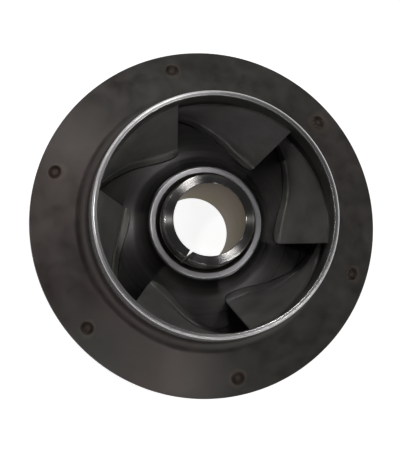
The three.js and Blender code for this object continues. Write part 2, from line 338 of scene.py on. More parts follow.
def paint(made: bpy.types.Object, finish: Finish, chosen: Callable[[float, float], bool]) -> None:
    """Gives some faces of a turned piece another finish.

    Args:
        made: the piece, with its other finishes.
        finish: the finish that the chosen faces get.
        chosen: tells by the outward and upward parts of a face's normal if it is chosen.
    """
    coat(made, finish)
    for polygon in made.data.polygons:
        centre, normal = polygon.center, polygon.normal
        outward = (centre.x * normal.x + centre.y * normal.y) / math.hypot(centre.x, centre.y)
        if chosen(outward, normal.z):
            polygon.material_index = len(made.data.materials) - 1


def dressed(made: bpy.types.Object, nodes: Sequence[str]) -> bpy.types.Object:
    """Hands a finished piece to the frame.

    Args:
        made: the piece, with its materials.
        nodes: the CAD nodes that it stands for.

    Returns:
        The piece.
    """
    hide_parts(*nodes)
    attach(made, BODY)
    triangles = sum(len(p.vertices) - 2 for p in made.data.polygons)
    log.info("%s stands for %d nodes, %d triangles", made.name, len(nodes), triangles)
    return made


# Node trees


class NodeSheet:
    """A node tree, with short ways to add and join its nodes."""

    # The Mix node's inputs for its share and its two colours, and its output for a colour
    MIX_INPUTS = (0, 6, 7)
    MIX_OUTPUT = 2

    def __init__(self, tree: bpy.types.NodeTree) -> None:
        """Takes up a tree."""
        self.tree = tree

    def add(
        self, kind: str, inputs: Mapping[str | int, Input] | None = None, **settings: object
    ) -> bpy.types.Node:
        """A new node.

        Args:
            kind: the node's type.
            inputs: what some of its sockets are given, by the socket's name or number.
            settings: some of the node's own properties.

        Returns:
            The node.
        """
        node = self.tree.nodes.new(kind)
        for name, value in settings.items():
            setattr(node, name, value)
        self.feed_all(inputs or {}, node)
        return node

    def feed(self, value: Input, socket: Socket) -> None:
        """Gives a socket a fixed value or another node's result.

        Args:
            value: the value, the colour, or the socket that the result comes from.
            socket: the input socket.
        """
        if isinstance(value, Socket):
            self.tree.links.new(value, socket)
        elif isinstance(value, tuple) and socket.type == "RGBA":
            socket.default_value = (*value, 1.0)
        else:
            socket.default_value = value

    def feed_all(self, inputs: Mapping[str | int, Input], node: bpy.types.Node) -> None:
        """Gives some of a node's sockets, by name or number, a fixed value or another node's result."""
        for name, value in inputs.items():
            self.feed(value, node.inputs[name])

    def maths(self, operation: str, *values: Value) -> Socket:
        """A Math node's result."""
        return self.add("ShaderNodeMath", dict(enumerate(values)), operation=operation).outputs[0]

    def vector_maths(self, operation: str, *values: Input) -> Socket:
        """The single number that a Vector Math node gives."""
        return self.add("ShaderNodeVectorMath", dict(enumerate(values)), operation=operation).outputs["Value"]

    def split(self, vector: Socket) -> tuple[Socket, Socket, Socket]:
        """The three parts of a vector."""
        return tuple(self.add("ShaderNodeSeparateXYZ", {0: vector}).outputs)

    def vector(self, x: Value, y: Value, z: Value) -> Socket:
        """A vector of three values."""
        return self.add("ShaderNodeCombineXYZ", {"X": x, "Y": y, "Z": z}).outputs[0]

    def between(self, value: Socket, span: Span, result: tuple[Value, Value]) -> Socket:
        """A value mapped from one range to another, and held at its ends."""
        return self.add("ShaderNodeMapRange", dict(enumerate((value, *span, *result)))).outputs[0]

    def ramp(self, at: Socket, stops: Sequence[tuple[float, Colour]]) -> Socket:
        """A colour read from stops between 0 and 1.

        Args:
            at: where it is read.
            stops: places and their colours, in order.

        Returns:
            The colour.
        """
        node = self.add("ShaderNodeValToRGB", {0: at})
        band = node.color_ramp
        while len(band.elements) < len(stops):
            band.elements.new(0.5)
        for element, (place, colour) in zip(band.elements, stops):
            element.position = place
            element.color = (*colour, 1.0)
        return node.outputs[0]

    def mix(
        self, share: Value, first: Socket | Colour, second: Socket | Colour, blend: str = "MIX"
    ) -> Socket:
        """Two colours blended by a share of the second.

        Args:
            share: how much of the second there is.
            first: the first colour.
            second: the second colour.
            blend: the node's way of blending.

        Returns:
            The colour of both.
        """
        inputs = dict(zip(self.MIX_INPUTS, (share, first, second)))
        node = self.add("ShaderNodeMix", inputs, data_type="RGBA", blend_type=blend, clamp_factor=True)
        return node.outputs[self.MIX_OUTPUT]

    def scaled(self, colour: Socket, factor: Socket) -> Socket:
        """A colour whose three parts are multiplied by a factor."""
        return self.mix(1.0, colour, self.vector(factor, factor, factor), "MULTIPLY")


def greys(stops: Sequence[tuple[float, float]]) -> list[tuple[float, Colour]]:
    """A ramp's stops, from their places and shades of grey."""
    return [(at, (grey, grey, grey)) for at, grey in stops]


@dataclass(frozen=True)
class Grain:
    """A kind of soft noise.

    Args:
        size: the width of its largest patches, in metres.
        detail: how many finer layers it has.
        rough: how strong the finer layers are.
    """

    size: float
    detail: float = 2.0
    rough: float = 0.5


class MaterialSheet(NodeSheet):
    """A material's nodes."""

    def __init__(self, name: str) -> None:
        """Starts a material that holds only its shader and its output."""
        self.material = bpy.data.materials.new(name)
        self.material.use_nodes = True
        super().__init__(self.material.node_tree)
        self.shader = self.tree.nodes["Principled BSDF"]

    def place(self) -> Socket:
        """The surface's place in the frame's metres."""
        return self.add("ShaderNodeTexCoord").outputs["Object"]

    def cylinder(self) -> tuple[Socket, Socket, Socket]:
        """The surface's place as a radius, an angle and a height."""
        x, y, z = self.split(self.place())
        square = self.maths("ADD", self.maths("MULTIPLY", x, x), self.maths("MULTIPLY", y, y))
        return self.maths("SQRT", square), self.maths("ARCTAN2", y, x), z

    def noise(self, at: Socket, grain: Grain) -> Socket:
        """Soft noise between 0 and 1, read at a place in metres."""
        inputs = {"Vector": at, "Scale": 1 / grain.size, "Detail": grain.detail, "Roughness": grain.rough}
        return self.add("ShaderNodeTexNoise", inputs, noise_dimensions="3D").outputs[0]

    def bump(self, height: Socket, depth: float, strength: float, under: Socket | None = None) -> Socket:
        """A normal bent by a height between 0 and 1.

        Args:
            height: the height map.
            depth: what a height of 1 stands for, in metres.
            strength: how much of the bump is used.
            under: another bump that this one lies on.

        Returns:
            The normal.
        """
        node = self.add("ShaderNodeBump", {"Strength": strength, "Distance": depth, "Height": height})
        if under is not None:
            self.feed(under, node.inputs["Normal"])
        return node.outputs[0]

    def finish(self, inputs: Mapping[str, Input]) -> bpy.types.Material:
        """Feeds the shader's sockets, by name, and returns the material."""
        self.feed_all(inputs, self.shader)
        return self.material


class RingArray:
    """Geometry Nodes that repeat a piece evenly round the shaft axis."""

    def __init__(self) -> None:
        """Builds the tree, with named inputs for the count, the first angle and the main finish."""
        self.tree = bpy.data.node_groups.new("ring array", "GeometryNodeTree")
        self.socket("Geometry", "Geometry")
        self.count = self.socket("Count", "Int")
        self.first = self.socket("First Angle", "Float")
        self.finish = self.socket("Finish", "Material")
        self.socket("Geometry", "Geometry", "OUTPUT")
        sheet = NodeSheet(self.tree)
        given = sheet.add("NodeGroupInput").outputs
        share = sheet.maths("DIVIDE", FULL_TURN, given["Count"])
        index = sheet.add("GeometryNodeInputIndex").outputs[0]
        turn = sheet.maths("MULTIPLY_ADD", index, share, given["First Angle"])
        points = sheet.add("GeometryNodePoints", {"Count": given["Count"]})
        copies = sheet.add("GeometryNodeInstanceOnPoints", {
            "Points": points.outputs[0],
            "Instance": given["Geometry"],
            "Rotation": sheet.vector(0.0, 0.0, turn),
        })
        real = sheet.add("GeometryNodeRealizeInstances", {"Geometry": copies.outputs[0]})
        finish_index = sheet.add("GeometryNodeInputMaterialIndex").outputs[0]
        is_main = sheet.add("FunctionNodeBooleanMath", {0: finish_index}, operation="NOT").outputs[0]
        dress = sheet.add("GeometryNodeSetMaterial", {
            "Geometry": real.outputs[0],
            "Selection": is_main,
            "Material": given["Finish"],
        })
        sheet.add("NodeGroupOutput", {0: dress.outputs[0]})

    def socket(self, name: str, kind: str, way: str = "INPUT") -> str:
        """Adds an input or output to the tree and returns its identifier."""
        return self.tree.interface.new_socket(name, in_out=way, socket_type=f"NodeSocket{kind}").identifier

    def repeat(self, made: bpy.types.Object, first: float) -> bpy.types.Object:
        """Repeats a piece once for each blade and settles it into a plain mesh.

        Args:
            made: the piece as it stands at angle zero, with its finishes, the main one first.
            first: the first copy's angle, in radians.

        Returns:
            The same object, holding all the copies.
        """
        step = made.modifiers.new("ring array", "NODES")
        step.node_group = self.tree
        step[self.count] = BLADES
        step[self.first] = first
        step[self.finish] = made.data.materials[0]
        return settled(made)


# Finishes


@dataclass(frozen=True)
class SpotRing:
    """A ring of weld spots, for finishes that change round each spot.

    Args:
        radius: the spots' distance from the shaft axis.
        height: their height.
        first: the first spot's angle.
    """

    radius: float
    height: float
    first: float

    def distance(self, sheet: MaterialSheet) -> Socket:
        """How far the surface lies from the nearest spot's centre.

        Args:
            sheet: the nodes of the surface's material.

        Returns:
            The distance in metres.
        """
        radius, angle, height = sheet.cylinder()
        half = math.pi / BLADES
        from_spot = sheet.maths("WRAP", sheet.maths("SUBTRACT", angle, self.first), half, -half)
        across = sheet.maths("MULTIPLY", radius, sheet.maths("SINE", from_spot))
        along = sheet.maths("MULTIPLY", radius, sheet.maths("COSINE", from_spot))
        outward = sheet.maths("SUBTRACT", along, self.radius)
        upward = sheet.maths("SUBTRACT", height, self.height)
        return sheet.vector_maths("LENGTH", sheet.vector(outward, across, upward))


@dataclass(frozen=True)
class HeatTint:
    """The oxide colours that a spot's heat leaves round it.

    Args:
        spots: the ring of weld spots.
        spread: how far from a spot the last colour reaches.
        strength: how strongly the oxide covers the steel.
    """

    spots: SpotRing
    spread: float
    strength: float

    WANDER = Grain(14 * MM, 3.0)
    WANDER_SPAN = (0.3, 0.7)
    WANDER_REACH = (0.6, 1.35)
    COVER_SPAN = (0.35, 1.0)
    OXIDE = (
        (0.3, (0.07, 0.045, 0.035)),
        (0.42, (0.20, 0.12, 0.075)),
        (0.58, (0.36, 0.25, 0.16)),
        (0.8, (0.46, 0.38, 0.30)),
        (1.0, (0.45, 0.42, 0.42)),
    )

    def over(self, sheet: MaterialSheet, colour: Socket) -> Socket:
        """The steel's colour with the oxide's over it.

        Args:
            sheet: the nodes of the steel's material.
            colour: the steel's colour.

        Returns:
            The colour of both.
        """
        wander = sheet.noise(sheet.place(), self.WANDER)
        far = sheet.maths("MULTIPLY", sheet.between(wander, self.WANDER_SPAN, self.WANDER_REACH), self.spread)
        share = sheet.maths("DIVIDE", self.spots.distance(sheet), far)
        cover = sheet.between(share, self.COVER_SPAN, (self.strength, 0.0))
        return sheet.mix(cover, colour, sheet.ramp(share, self.OXIDE))


@dataclass(frozen=True)
class TurnedSteel:
    """Bright stainless from the lathe: concentric grooves that stretch each highlight across them.

    Args:
        name: the material's name.
        colour: the steel's colour.
        roughness: its mean roughness.
        stretch: how much finer the surface is along the grooves than across them.
        stain: a darker colour in soft patches.
        stain_share: how strongly the patches show.
        edge_colour: the share of light that it keeps at a glancing angle.
        tint: the oxide round weld spots, if it has any.
    """

    name: str
    colour: Colour
    roughness: float
    stretch: float = 0.65
    stain: Colour = (0.42, 0.38, 0.35)
    stain_share: float = 0.5
    edge_colour: Colour = (1.0, 1.0, 1.0)
    tint: HeatTint | None = None

    # The grooves, which run on for long along the turning and are read from the UV map across it
    ALONG_SHARE = 0.01
    GROOVE_PITCH = 0.35 * MM
    GROOVES = Grain(GROOVE_PITCH, 3.0, 0.7)
    COARSE_GROOVES = Grain(7 * GROOVE_PITCH)
    GROOVE_SPAN = (0.7, 1.3)
    GROOVE_LIGHT = (0.86, 1.08)
    GROOVE_DEPTH = 0.012 * MM
    GROOVE_BUMP = 0.5
    # The tangent follows the turning, and a quarter of a turn stretches the highlights across it
    ACROSS_TANGENT = 0.25

    STAINS = Grain(22 * MM, 4.0, 0.6)
    STAIN_SPAN = (0.45, 0.75)
    RIPPLE = Grain(1.5 * MM, 3.0)
    RIPPLE_DEPTH = 0.01 * MM
    RIPPLE_BUMP = 0.4
    ROUGH_SPAN = (0.3, 0.7)
    SMOOTHER = 0.05
    ROUGHER = 0.07

    def material(self) -> bpy.types.Material:
        """Builds the material."""
        sheet = MaterialSheet(self.name)
        mapped = sheet.add("ShaderNodeUVMap", uv_map=TURNED_UV)
        _, along, _ = sheet.split(mapped.outputs[0])
        place = sheet.place()
        x, y, _ = sheet.split(place)
        lines = sheet.vector(
            sheet.maths("MULTIPLY", x, self.ALONG_SHARE), sheet.maths("MULTIPLY", y, self.ALONG_SHARE), along
        )
        fine = sheet.noise(lines, self.GROOVES)
        coarse = sheet.noise(lines, self.COARSE_GROOVES)
        stained = sheet.between(sheet.noise(place, self.STAINS), self.STAIN_SPAN, (0.0, self.stain_share))
        lined = sheet.between(sheet.maths("ADD", fine, coarse), self.GROOVE_SPAN, self.GROOVE_LIGHT)
        colour = sheet.scaled(sheet.mix(stained, self.colour, self.stain), lined)
        if self.tint:
            colour = self.tint.over(sheet, colour)
        normal = sheet.bump(fine, self.GROOVE_DEPTH, self.GROOVE_BUMP)
        ripple = sheet.noise(place, self.RIPPLE)
        tangent = sheet.add("ShaderNodeTangent", direction_type="UV_MAP", uv_map=TURNED_UV)
        rough_ends = (self.roughness - self.SMOOTHER, self.roughness + self.ROUGHER)
        return sheet.finish({
            "Metallic": 1.0,
            "Base Color": colour,
            "Roughness": sheet.between(coarse, self.ROUGH_SPAN, rough_ends),
            "Normal": sheet.bump(ripple, self.RIPPLE_DEPTH, self.RIPPLE_BUMP, normal),
            "Specular Tint": self.edge_colour,
            "Anisotropic": self.stretch,
            "Anisotropic Rotation": self.ACROSS_TANGENT,
            "Tangent": tangent.outputs[0],
        })


@dataclass(frozen=True)
class PressedSteel:
    """Dull stainless sheet from the press, with a thin film that shifts its colour in wide patches.

    Args:
        name: the material's name.
        colour: the sheet's colour.
        film: the film's colours, blended by patch.
        roughness: its mean roughness.
        rub: how much lighter worn places are.
        metallic: less than 1 where a dull film covers the metal.
        bend_radius: the radius inside which the sheet is darkened as painted shade, over the bend and the
            neck, or 0 for none.
        tint: the oxide round weld spots, if it has any.
    """

    name: str
    colour: Colour
    film: tuple[Colour, Colour]
    roughness: float = 0.4
    rub: float = 0.25
    metallic: float = 1.0
    bend_radius: float = 0.0
    tint: HeatTint | None = None

    FILM = Grain(70 * MM)
    FILM_STOPS = (0.38, 0.5, 0.62)
    RUBBED = Grain(9 * MM, 5.0, 0.62)
    RUB_SPAN = (0.35, 0.7)
    # Painted shade inside bend_radius: the half width of its fade, and the light kept inside and outside it
    PAINTED_SHADE_HALF_WIDTH = 1.5 * MM
    PAINTED_SHADE_LIGHT = (0.35, 1.0)
    SKIN = Grain(0.45 * MM, 3.0, 0.6)
    SKIN_DEPTH = 0.02 * MM
    SKIN_BUMP = 0.35
    WAVES = Grain(6 * MM)
    WAVE_DEPTH = 0.05 * MM
    WAVE_BUMP = 0.5
    ROUGH_SPAN = (0.3, 0.7)
    SMOOTHER = 0.07
    ROUGHER = 0.08

    def material(self) -> bpy.types.Material:
        """Builds the material."""
        sheet = MaterialSheet(self.name)
        place = sheet.place()
        film = zip(self.FILM_STOPS, (self.film[0], self.colour, self.film[1]))
        colour = sheet.ramp(sheet.noise(place, self.FILM), tuple(film))
        rubbed = sheet.noise(place, self.RUBBED)
        colour = sheet.scaled(colour, sheet.between(rubbed, self.RUB_SPAN, (1.0 - self.rub, 1.0 + self.rub)))
        # Painted shade over the bend and the neck, inside bend_radius
        if self.bend_radius:
            radius, _, _ = sheet.cylinder()
            ends = (self.bend_radius - self.PAINTED_SHADE_HALF_WIDTH, self.bend_radius + self.PAINTED_SHADE_HALF_WIDTH)
            colour = sheet.scaled(colour, sheet.between(radius, ends, self.PAINTED_SHADE_LIGHT))
        if self.tint:
            colour = self.tint.over(sheet, colour)
        normal = sheet.bump(sheet.noise(place, self.SKIN), self.SKIN_DEPTH, self.SKIN_BUMP)
        rough_ends = (self.roughness - self.SMOOTHER, self.roughness + self.ROUGHER)
        return sheet.finish({
            "Metallic": self.metallic,
            "Base Color": colour,
            "Roughness": sheet.between(rubbed, self.ROUGH_SPAN, rough_ends),
            "Normal": sheet.bump(sheet.noise(place, self.WAVES), self.WAVE_DEPTH, self.WAVE_BUMP, normal),
        })


@dataclass(frozen=True)
class SpotSteel:
    """The scaled metal of a weld spot: near black at its rim, lighter and browner in its dish.

    Args:
        name: the material's name.
        spots: the ring of weld spots.
        spot_radius: a spot's radius.
        rim: the colour near its rim.
        dish: the colour in its dish and beyond its rim.
    """

    name: str
    spots: SpotRing
    spot_radius: float
    rim: Colour
    dish: Colour

    STOPS = (0.25, 0.6, 0.85, 1.0)
    CRUST = Grain(0.7 * MM, 4.0, 0.65)
    CRUST_SPAN = (0.3, 0.7)
    CRUST_LIGHT = (0.65, 1.3)
    CRUST_ROUGHNESS = (0.38, 0.62)
    CRUST_DEPTH = 0.12 * MM
    CRUST_BUMP = 0.6

    def material(self) -> bpy.types.Material:
        """Builds the material."""
        sheet = MaterialSheet(self.name)
        share = sheet.maths("DIVIDE", self.spots.distance(sheet), self.spot_radius)
        colour = sheet.ramp(share, tuple(zip(self.STOPS, (self.dish, self.rim, self.rim, self.dish))))
        crust = sheet.noise(sheet.place(), self.CRUST)
        return sheet.finish({
            "Metallic": 1.0,
            "Base Color": sheet.scaled(colour, sheet.between(crust, self.CRUST_SPAN, self.CRUST_LIGHT)),
            "Roughness": sheet.between(crust, self.CRUST_SPAN, self.CRUST_ROUGHNESS),
            "Normal": sheet.bump(crust, self.CRUST_DEPTH, self.CRUST_BUMP),
        })


# Sub-assemblies


@dataclass(frozen=True)
class FrontFace:
    """The front shroud's outer face: a cone that bends up into the neck."""

    rim_radius: float = measured(reach, "front_shroud")
    sheet: float = 2 * MM
    slope: float = math.radians(21.5)
    bend_radius: float = 8 * MM
    neck_radius: float = 51.6 * MM

    @property
    def rim_height(self) -> float:
        """Height of the outer face at the rim."""
        return bottom("front_shroud") + self.sheet / math.cos(self.slope)

    @property
    def bend_centre(self) -> tuple[float, float]:
        """Radius and height of the bend's centre."""
        radius = self.neck_radius + self.bend_radius
        return radius, self.cone_height(radius) + self.bend_radius / math.cos(self.slope)

    @property
    def inner_bend_radius(self) -> float:
        """The bend's radius on the inner face."""
        return self.bend_radius + self.sheet

    @property
    def bend_run(self) -> float:
        """The bend's length along the inner face."""
        return self.inner_bend_radius * (math.pi / 2 - self.slope)

    def cone_height(self, radius: float, depth: float = 0.0) -> float:
        """Height of the cone.

        Args:
            radius: the radius where it is taken.
            depth: how far below the outer face it is taken.

        Returns:
            The height.
        """
        drop = depth / math.cos(self.slope)
        return self.rim_height + (self.rim_radius - radius) * math.tan(self.slope) - drop

    def bend(self, depth: float) -> list[Corner]:
        """The bend a depth below the outer face, from the cone to the neck."""
        return arc(self.bend_centre, self.bend_radius + depth, 1.5 * math.pi - self.slope, math.pi)

    def inside(self, run: float, start_height: float) -> tuple[float, float, float, float]:
        """A place on the inner face, a run from a start height down the neck and out along the cone.

        Args:
            run: the length along the face.
            start_height: where the run starts in the neck.

        Returns:
            Its radius and height, and the radius and height parts of the way into the passage, reversed.
        """
        centre_radius, centre_height = self.bend_centre
        neck_run = start_height - centre_height
        bent = math.pi + min(max(run - neck_run, 0.0), self.bend_run) / self.inner_bend_radius
        lift = (math.cos(bent), math.sin(bent))
        if run < neck_run:
            straight, way = neck_run - run, (0.0, 1.0)
        else:
            straight = max(0.0, run - neck_run - self.bend_run)
            way = (math.cos(self.slope), -math.sin(self.slope))
        return (
            centre_radius + self.inner_bend_radius * lift[0] + straight * way[0],
            centre_height + self.inner_bend_radius * lift[1] + straight * way[1],
            *lift,
        )

    def inside_run(self, start_height: float) -> float:
        """The whole run along the inner face, out to the rim.

        Args:
            start_height: where the run starts in the neck.

        Returns:
            The run's length.
        """
        centre_radius, centre_height = self.bend_centre
        across = self.rim_radius - centre_radius + self.inner_bend_radius * math.sin(self.slope)
        return start_height - centre_height + self.bend_run + across / math.cos(self.slope)


@dataclass(frozen=True)
class BackFace:
    """The back shroud's flow face: a trumpet that bends out from the hub into a cone."""

    rim_radius: float = measured(reach, "back_shroud")
    sheet: float = 2 * MM
    slope: float = math.radians(17)
    bore_radius: float = 24.6 * MM
    top: float = measured(top, "back_shroud")
    bend_radius: float = 9 * MM

    @property
    def bend_centre(self) -> tuple[float, float]:
        """Radius and height of the bend's centre."""
        return self.bore_radius + self.bend_radius, self.top

    def cone_height(self, radius: float, depth: float = 0.0) -> float:
        """Height of the cone.

        Args:
            radius: the radius where it is taken.
            depth: how far below the flow face it is taken.

        Returns:
            The height.
        """
        centre_radius, centre_height = self.bend_centre
        drop = (self.bend_radius + depth) / math.cos(self.slope)
        return centre_height - drop - (radius - centre_radius) * math.tan(self.slope)

    def bend(self, depth: float) -> list[Corner]:
        """The bend, from the bore out to the cone.

        Args:
            depth: how far below the flow face it is taken.

        Returns:
            The bend's corners, in order.
        """
        radius = self.bend_radius + depth
        start = math.acos(min(1.0, self.bend_radius / radius))
        return arc(self.bend_centre, radius, math.pi + start, 1.5 * math.pi - self.slope)

    def flow(self, run: float, start_radius: float) -> tuple[float, float, float, float]:
        """A place on the flow face, a run down the cone from a start radius.

        Args:
            run: the length along the face.
            start_radius: where the run starts.

        Returns:
            Its radius and height, and the radius and height parts of the way into the passage.
        """
        radius = start_radius + run * math.cos(self.slope)
        return radius, self.cone_height(radius), math.sin(self.slope), math.cos(self.slope)


def spot_ring(node: str, height_at: Callable[[float], float], slope: float) -> SpotRing:
    """The ring that a CAD weld spot belongs to, taken to the face that it shows on.

    Args:
        node: one of the CAD weld spots.
        height_at: the face's height at a radius.
        slope: the face's slope, positive where it falls outwards.

    Returns:
        The ring.
    """
    low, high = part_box(node)
    middle = (low + high) / 2
    radius = math.hypot(middle.x, middle.y)
    lift = (height_at(radius) - middle.z) * math.cos(slope)
    shown_radius = radius + lift * math.sin(slope)
    return SpotRing(shown_radius, height_at(shown_radius), math.atan2(middle.y, middle.x))


class SpotSide(Enum):
    """The shroud that a ring of weld spots is on."""

    FRONT = "front"
    BACK = "back"


@dataclass(frozen=True)
class WeldSpots:
    """Six plug welds that hold the blades' tabs to a shroud."""

    side: SpotSide
    ring: SpotRing
    slope: float
    depth: float
    rim_colour: Colour
    dish_colour: Colour
    radius: float = 2.9 * MM
    dish: float = 0.45 * MM
    hole_share: float = 0.7
    bead: float = 0.12 * MM
    skirt: float = 0.1 * MM
    round_steps: int = 48

    @property
    def seat(self) -> Matrix:
        """The place of a plug at angle zero, turned to face out of its shroud."""
        lean = self.slope if self.side is SpotSide.FRONT else self.slope + math.pi
        return Matrix.Translation((self.ring.radius, 0, self.ring.height)) @ Matrix.Rotation(lean, 4, "Y")

    def profile(self) -> np.ndarray:
        """The plug's half section from its middle on top to its middle below."""
        top_line = [
            (0.0, -0.75 * self.dish),
            (0.25, -0.8 * self.dish),
            (0.48, -self.dish),
            (0.66, -0.7 * self.dish),
            (0.8, -0.15 * self.dish),
            (0.9, self.bead),
            (1.0, self.bead),
            (1.06, 0.4 * self.bead),
            (1.08, -self.skirt),
            (1.0, -2 * self.skirt),
            (1.0, -self.hole_share * self.depth),
            (0.0, -self.hole_share * self.depth),
        ]
        return np.array([(self.radius * r, z) for r, z in top_line])

    def plug(self, name: str) -> bpy.types.Object:
        """One plug at angle zero, square to its shroud.

        Args:
            name: the object's name.

        Returns:
            The plug, with no finish yet.
        """
        profile = self.profile()
        build = bmesh.new()
        first = build.verts.new((0, 0, profile[0][1]))
        last = build.verts.new((0, 0, profile[-1][1]))
        turns = circle(self.round_steps)
        rings = [[build.verts.new(around(r, z, t)) for t in turns] for r, z in profile[1:-1]]
        for i in range(self.round_steps):
            k = (i + 1) % self.round_steps
            build.faces.new((first, rings[0][i], rings[0][k]))
            for inner, outer in zip(rings, rings[1:]):
                build.faces.new((inner[i], outer[i], outer[k], inner[k]))
            build.faces.new((rings[-1][i], last, rings[-1][k]))
        bmesh.ops.recalc_face_normals(build, faces=build.faces[:])
        bmesh.ops.transform(build, matrix=self.seat, verts=build.verts[:])
        return from_bmesh(name, build)

    def holes(self) -> list[bpy.types.Object]:
        """Cutters for the blind holes that the plugs fill, clear of the shroud's other face."""
        made = []
        middle = Matrix.Translation((0, 0, (1 - self.hole_share) * self.depth))
        for turn in circle(BLADES):
            build = bmesh.new()
            bmesh.ops.create_cone(
                build,
                cap_ends=True,
                segments=self.round_steps,
                radius1=self.radius,
                radius2=self.radius,
                depth=2 * self.depth,
                matrix=Matrix.Rotation(self.ring.first + turn, 4, "Z") @ self.seat @ middle,
            )
            made.append(from_bmesh("hole", build))
        return made

    def build(self, array: RingArray) -> bpy.types.Object:
        """Makes the ring of plugs and hands it to the frame.

        Args:
            array: the nodes that repeat a piece round the axis.

        Returns:
            The finished piece.
        """
        name = f"{self.side.value}_weld_spots"
        plug = self.plug(name)
        coat(plug, SpotSteel(name, self.ring, self.radius, self.rim_colour, self.dish_colour))
        nodes = [f"{self.side.value}_weld_{i + 1}" for i in range(BLADES)]
        return dressed(array.repeat(plug, self.ring.first), nodes)


@dataclass
class NeckRing:
    """The machined running face of the suction eye.

    The last three fields are parts of a face's normal: the upward part from which it is flat, and the
    outward parts from which it is the running face and below which it is the inside. One turned steel
    is given lit and shaded copies by face: near-white on the rounded edges as a painted highlight,
    darker on the flat and the running face as painted shade, and dark inside as painted shade.
    """

    radius: float = measured(reach, "neck_ring")
    top: float = measured(top, "neck_ring")
    bottom: float = measured(bottom, "neck_ring")
    wall: float = 2.4 * MM
    edge: float = 1.1 * MM
    inner_edge: float = 0.5 * MM
    foot_edge: float = 0.12 * MM
    seam: float = 0.3 * MM
    flat_from: float = 0.995
    wall_from: float = 0.75
    inside_below: float = -0.2

    def build(self) -> bpy.types.Object:
        """Turns the ring down to the shroud's own neck and hands it to the frame."""
        inner = self.radius - self.wall
        foot = self.bottom - self.seam
        section = rounded([
            Corner(inner, foot),
            Corner(self.radius, foot, self.foot_edge),
            Corner(self.radius, self.top, self.edge),
            Corner(inner, self.top, self.inner_edge),
        ])
        made = turned("neck_ring_turned", section)
        # Near-white steel on the rounded edges: painted highlight
        coat(made, TurnedSteel(
            "machined neck painted highlight", (0.97, 0.96, 0.96), roughness=0.3, stretch=0.6, stain_share=0.1
        ))
        # Darker copy on the flat top: painted shade
        flat = TurnedSteel("neck flat painted shade", (0.45, 0.44, 0.44), roughness=0.3, stretch=0.4, stain_share=0.1)
        paint(made, flat, lambda outward, up: up > self.flat_from)
        # Darker copy on the running face: painted shade
        wall = TurnedSteel(
            "neck running face painted shade", (0.46, 0.45, 0.45), roughness=0.22, stretch=0.6, stain_share=0.2
        )
        paint(made, wall, lambda outward, up: outward > self.wall_from)
        # Dark dull steel inside the eye: painted shade
        inside = PressedSteel(
            "neck inside painted shade", (0.22, 0.22, 0.205), ((0.22, 0.21, 0.20), (0.21, 0.22, 0.195)), roughness=0.5
        )
        paint(made, inside, lambda outward, up: outward < self.inside_below)
        return dressed(made, ["neck_ring"])


@dataclass
class FrontShroud:
    """The pressed cone with its bend up into the neck."""

    face: FrontFace
    spots: WeldSpots
    joint_height: float = 54.7 * MM
    edge: float = 0.35 * MM
    rings_from_rim: tuple[float, ...] = (1.5 * MM, 4 * MM, 8 * MM, 12 * MM)

    def section(self) -> np.ndarray:
        """The sheet's section, anticlockwise from the rim's upper edge."""
        face = self.face
        rim = face.rim_radius
        cone = [Corner(rim - step, face.cone_height(rim - step)) for step in self.rings_from_rim]
        under = [Corner(c.radius, face.cone_height(c.radius, face.sheet)) for c in reversed(cone)]
        return rounded([
            Corner(rim, face.cone_height(rim), self.edge),
            *cone,
            *face.bend(0.0),
            Corner(face.neck_radius, self.joint_height),
            Corner(face.neck_radius - face.sheet, self.joint_height),
            *reversed(face.bend(face.sheet)),
            *under,
            Corner(rim, face.cone_height(rim, face.sheet), self.edge),
        ])

    def build(self) -> bpy.types.Object:
        """Presses the sheet, cuts the plug holes and hands it to the frame."""
        made = cut(turned("front_shroud_sheet", self.section()), self.spots.holes())
        coat(made, PressedSteel(
            "front sheet",
            (0.160, 0.147, 0.138),
            ((0.172, 0.145, 0.137), (0.148, 0.143, 0.131)),
            roughness=0.38,
            rub=0.07,
            # Painted shade over the bend up into the neck and inside it
            bend_radius=55 * MM,
            tint=HeatTint(self.spots.ring, spread=5.2 * MM, strength=0.4),
        ))
        return dressed(made, ["front_shroud"])


class BackFinish(IntEnum):
    """The back shroud's finishes, in the order of its materials."""

    FLOW = 0
    BAND = 1
    WELL = 2
    # The fillet's finish is a near-white copy of the turned steel: painted highlight
    PAINTED_HIGHLIGHT_FILLET = 3


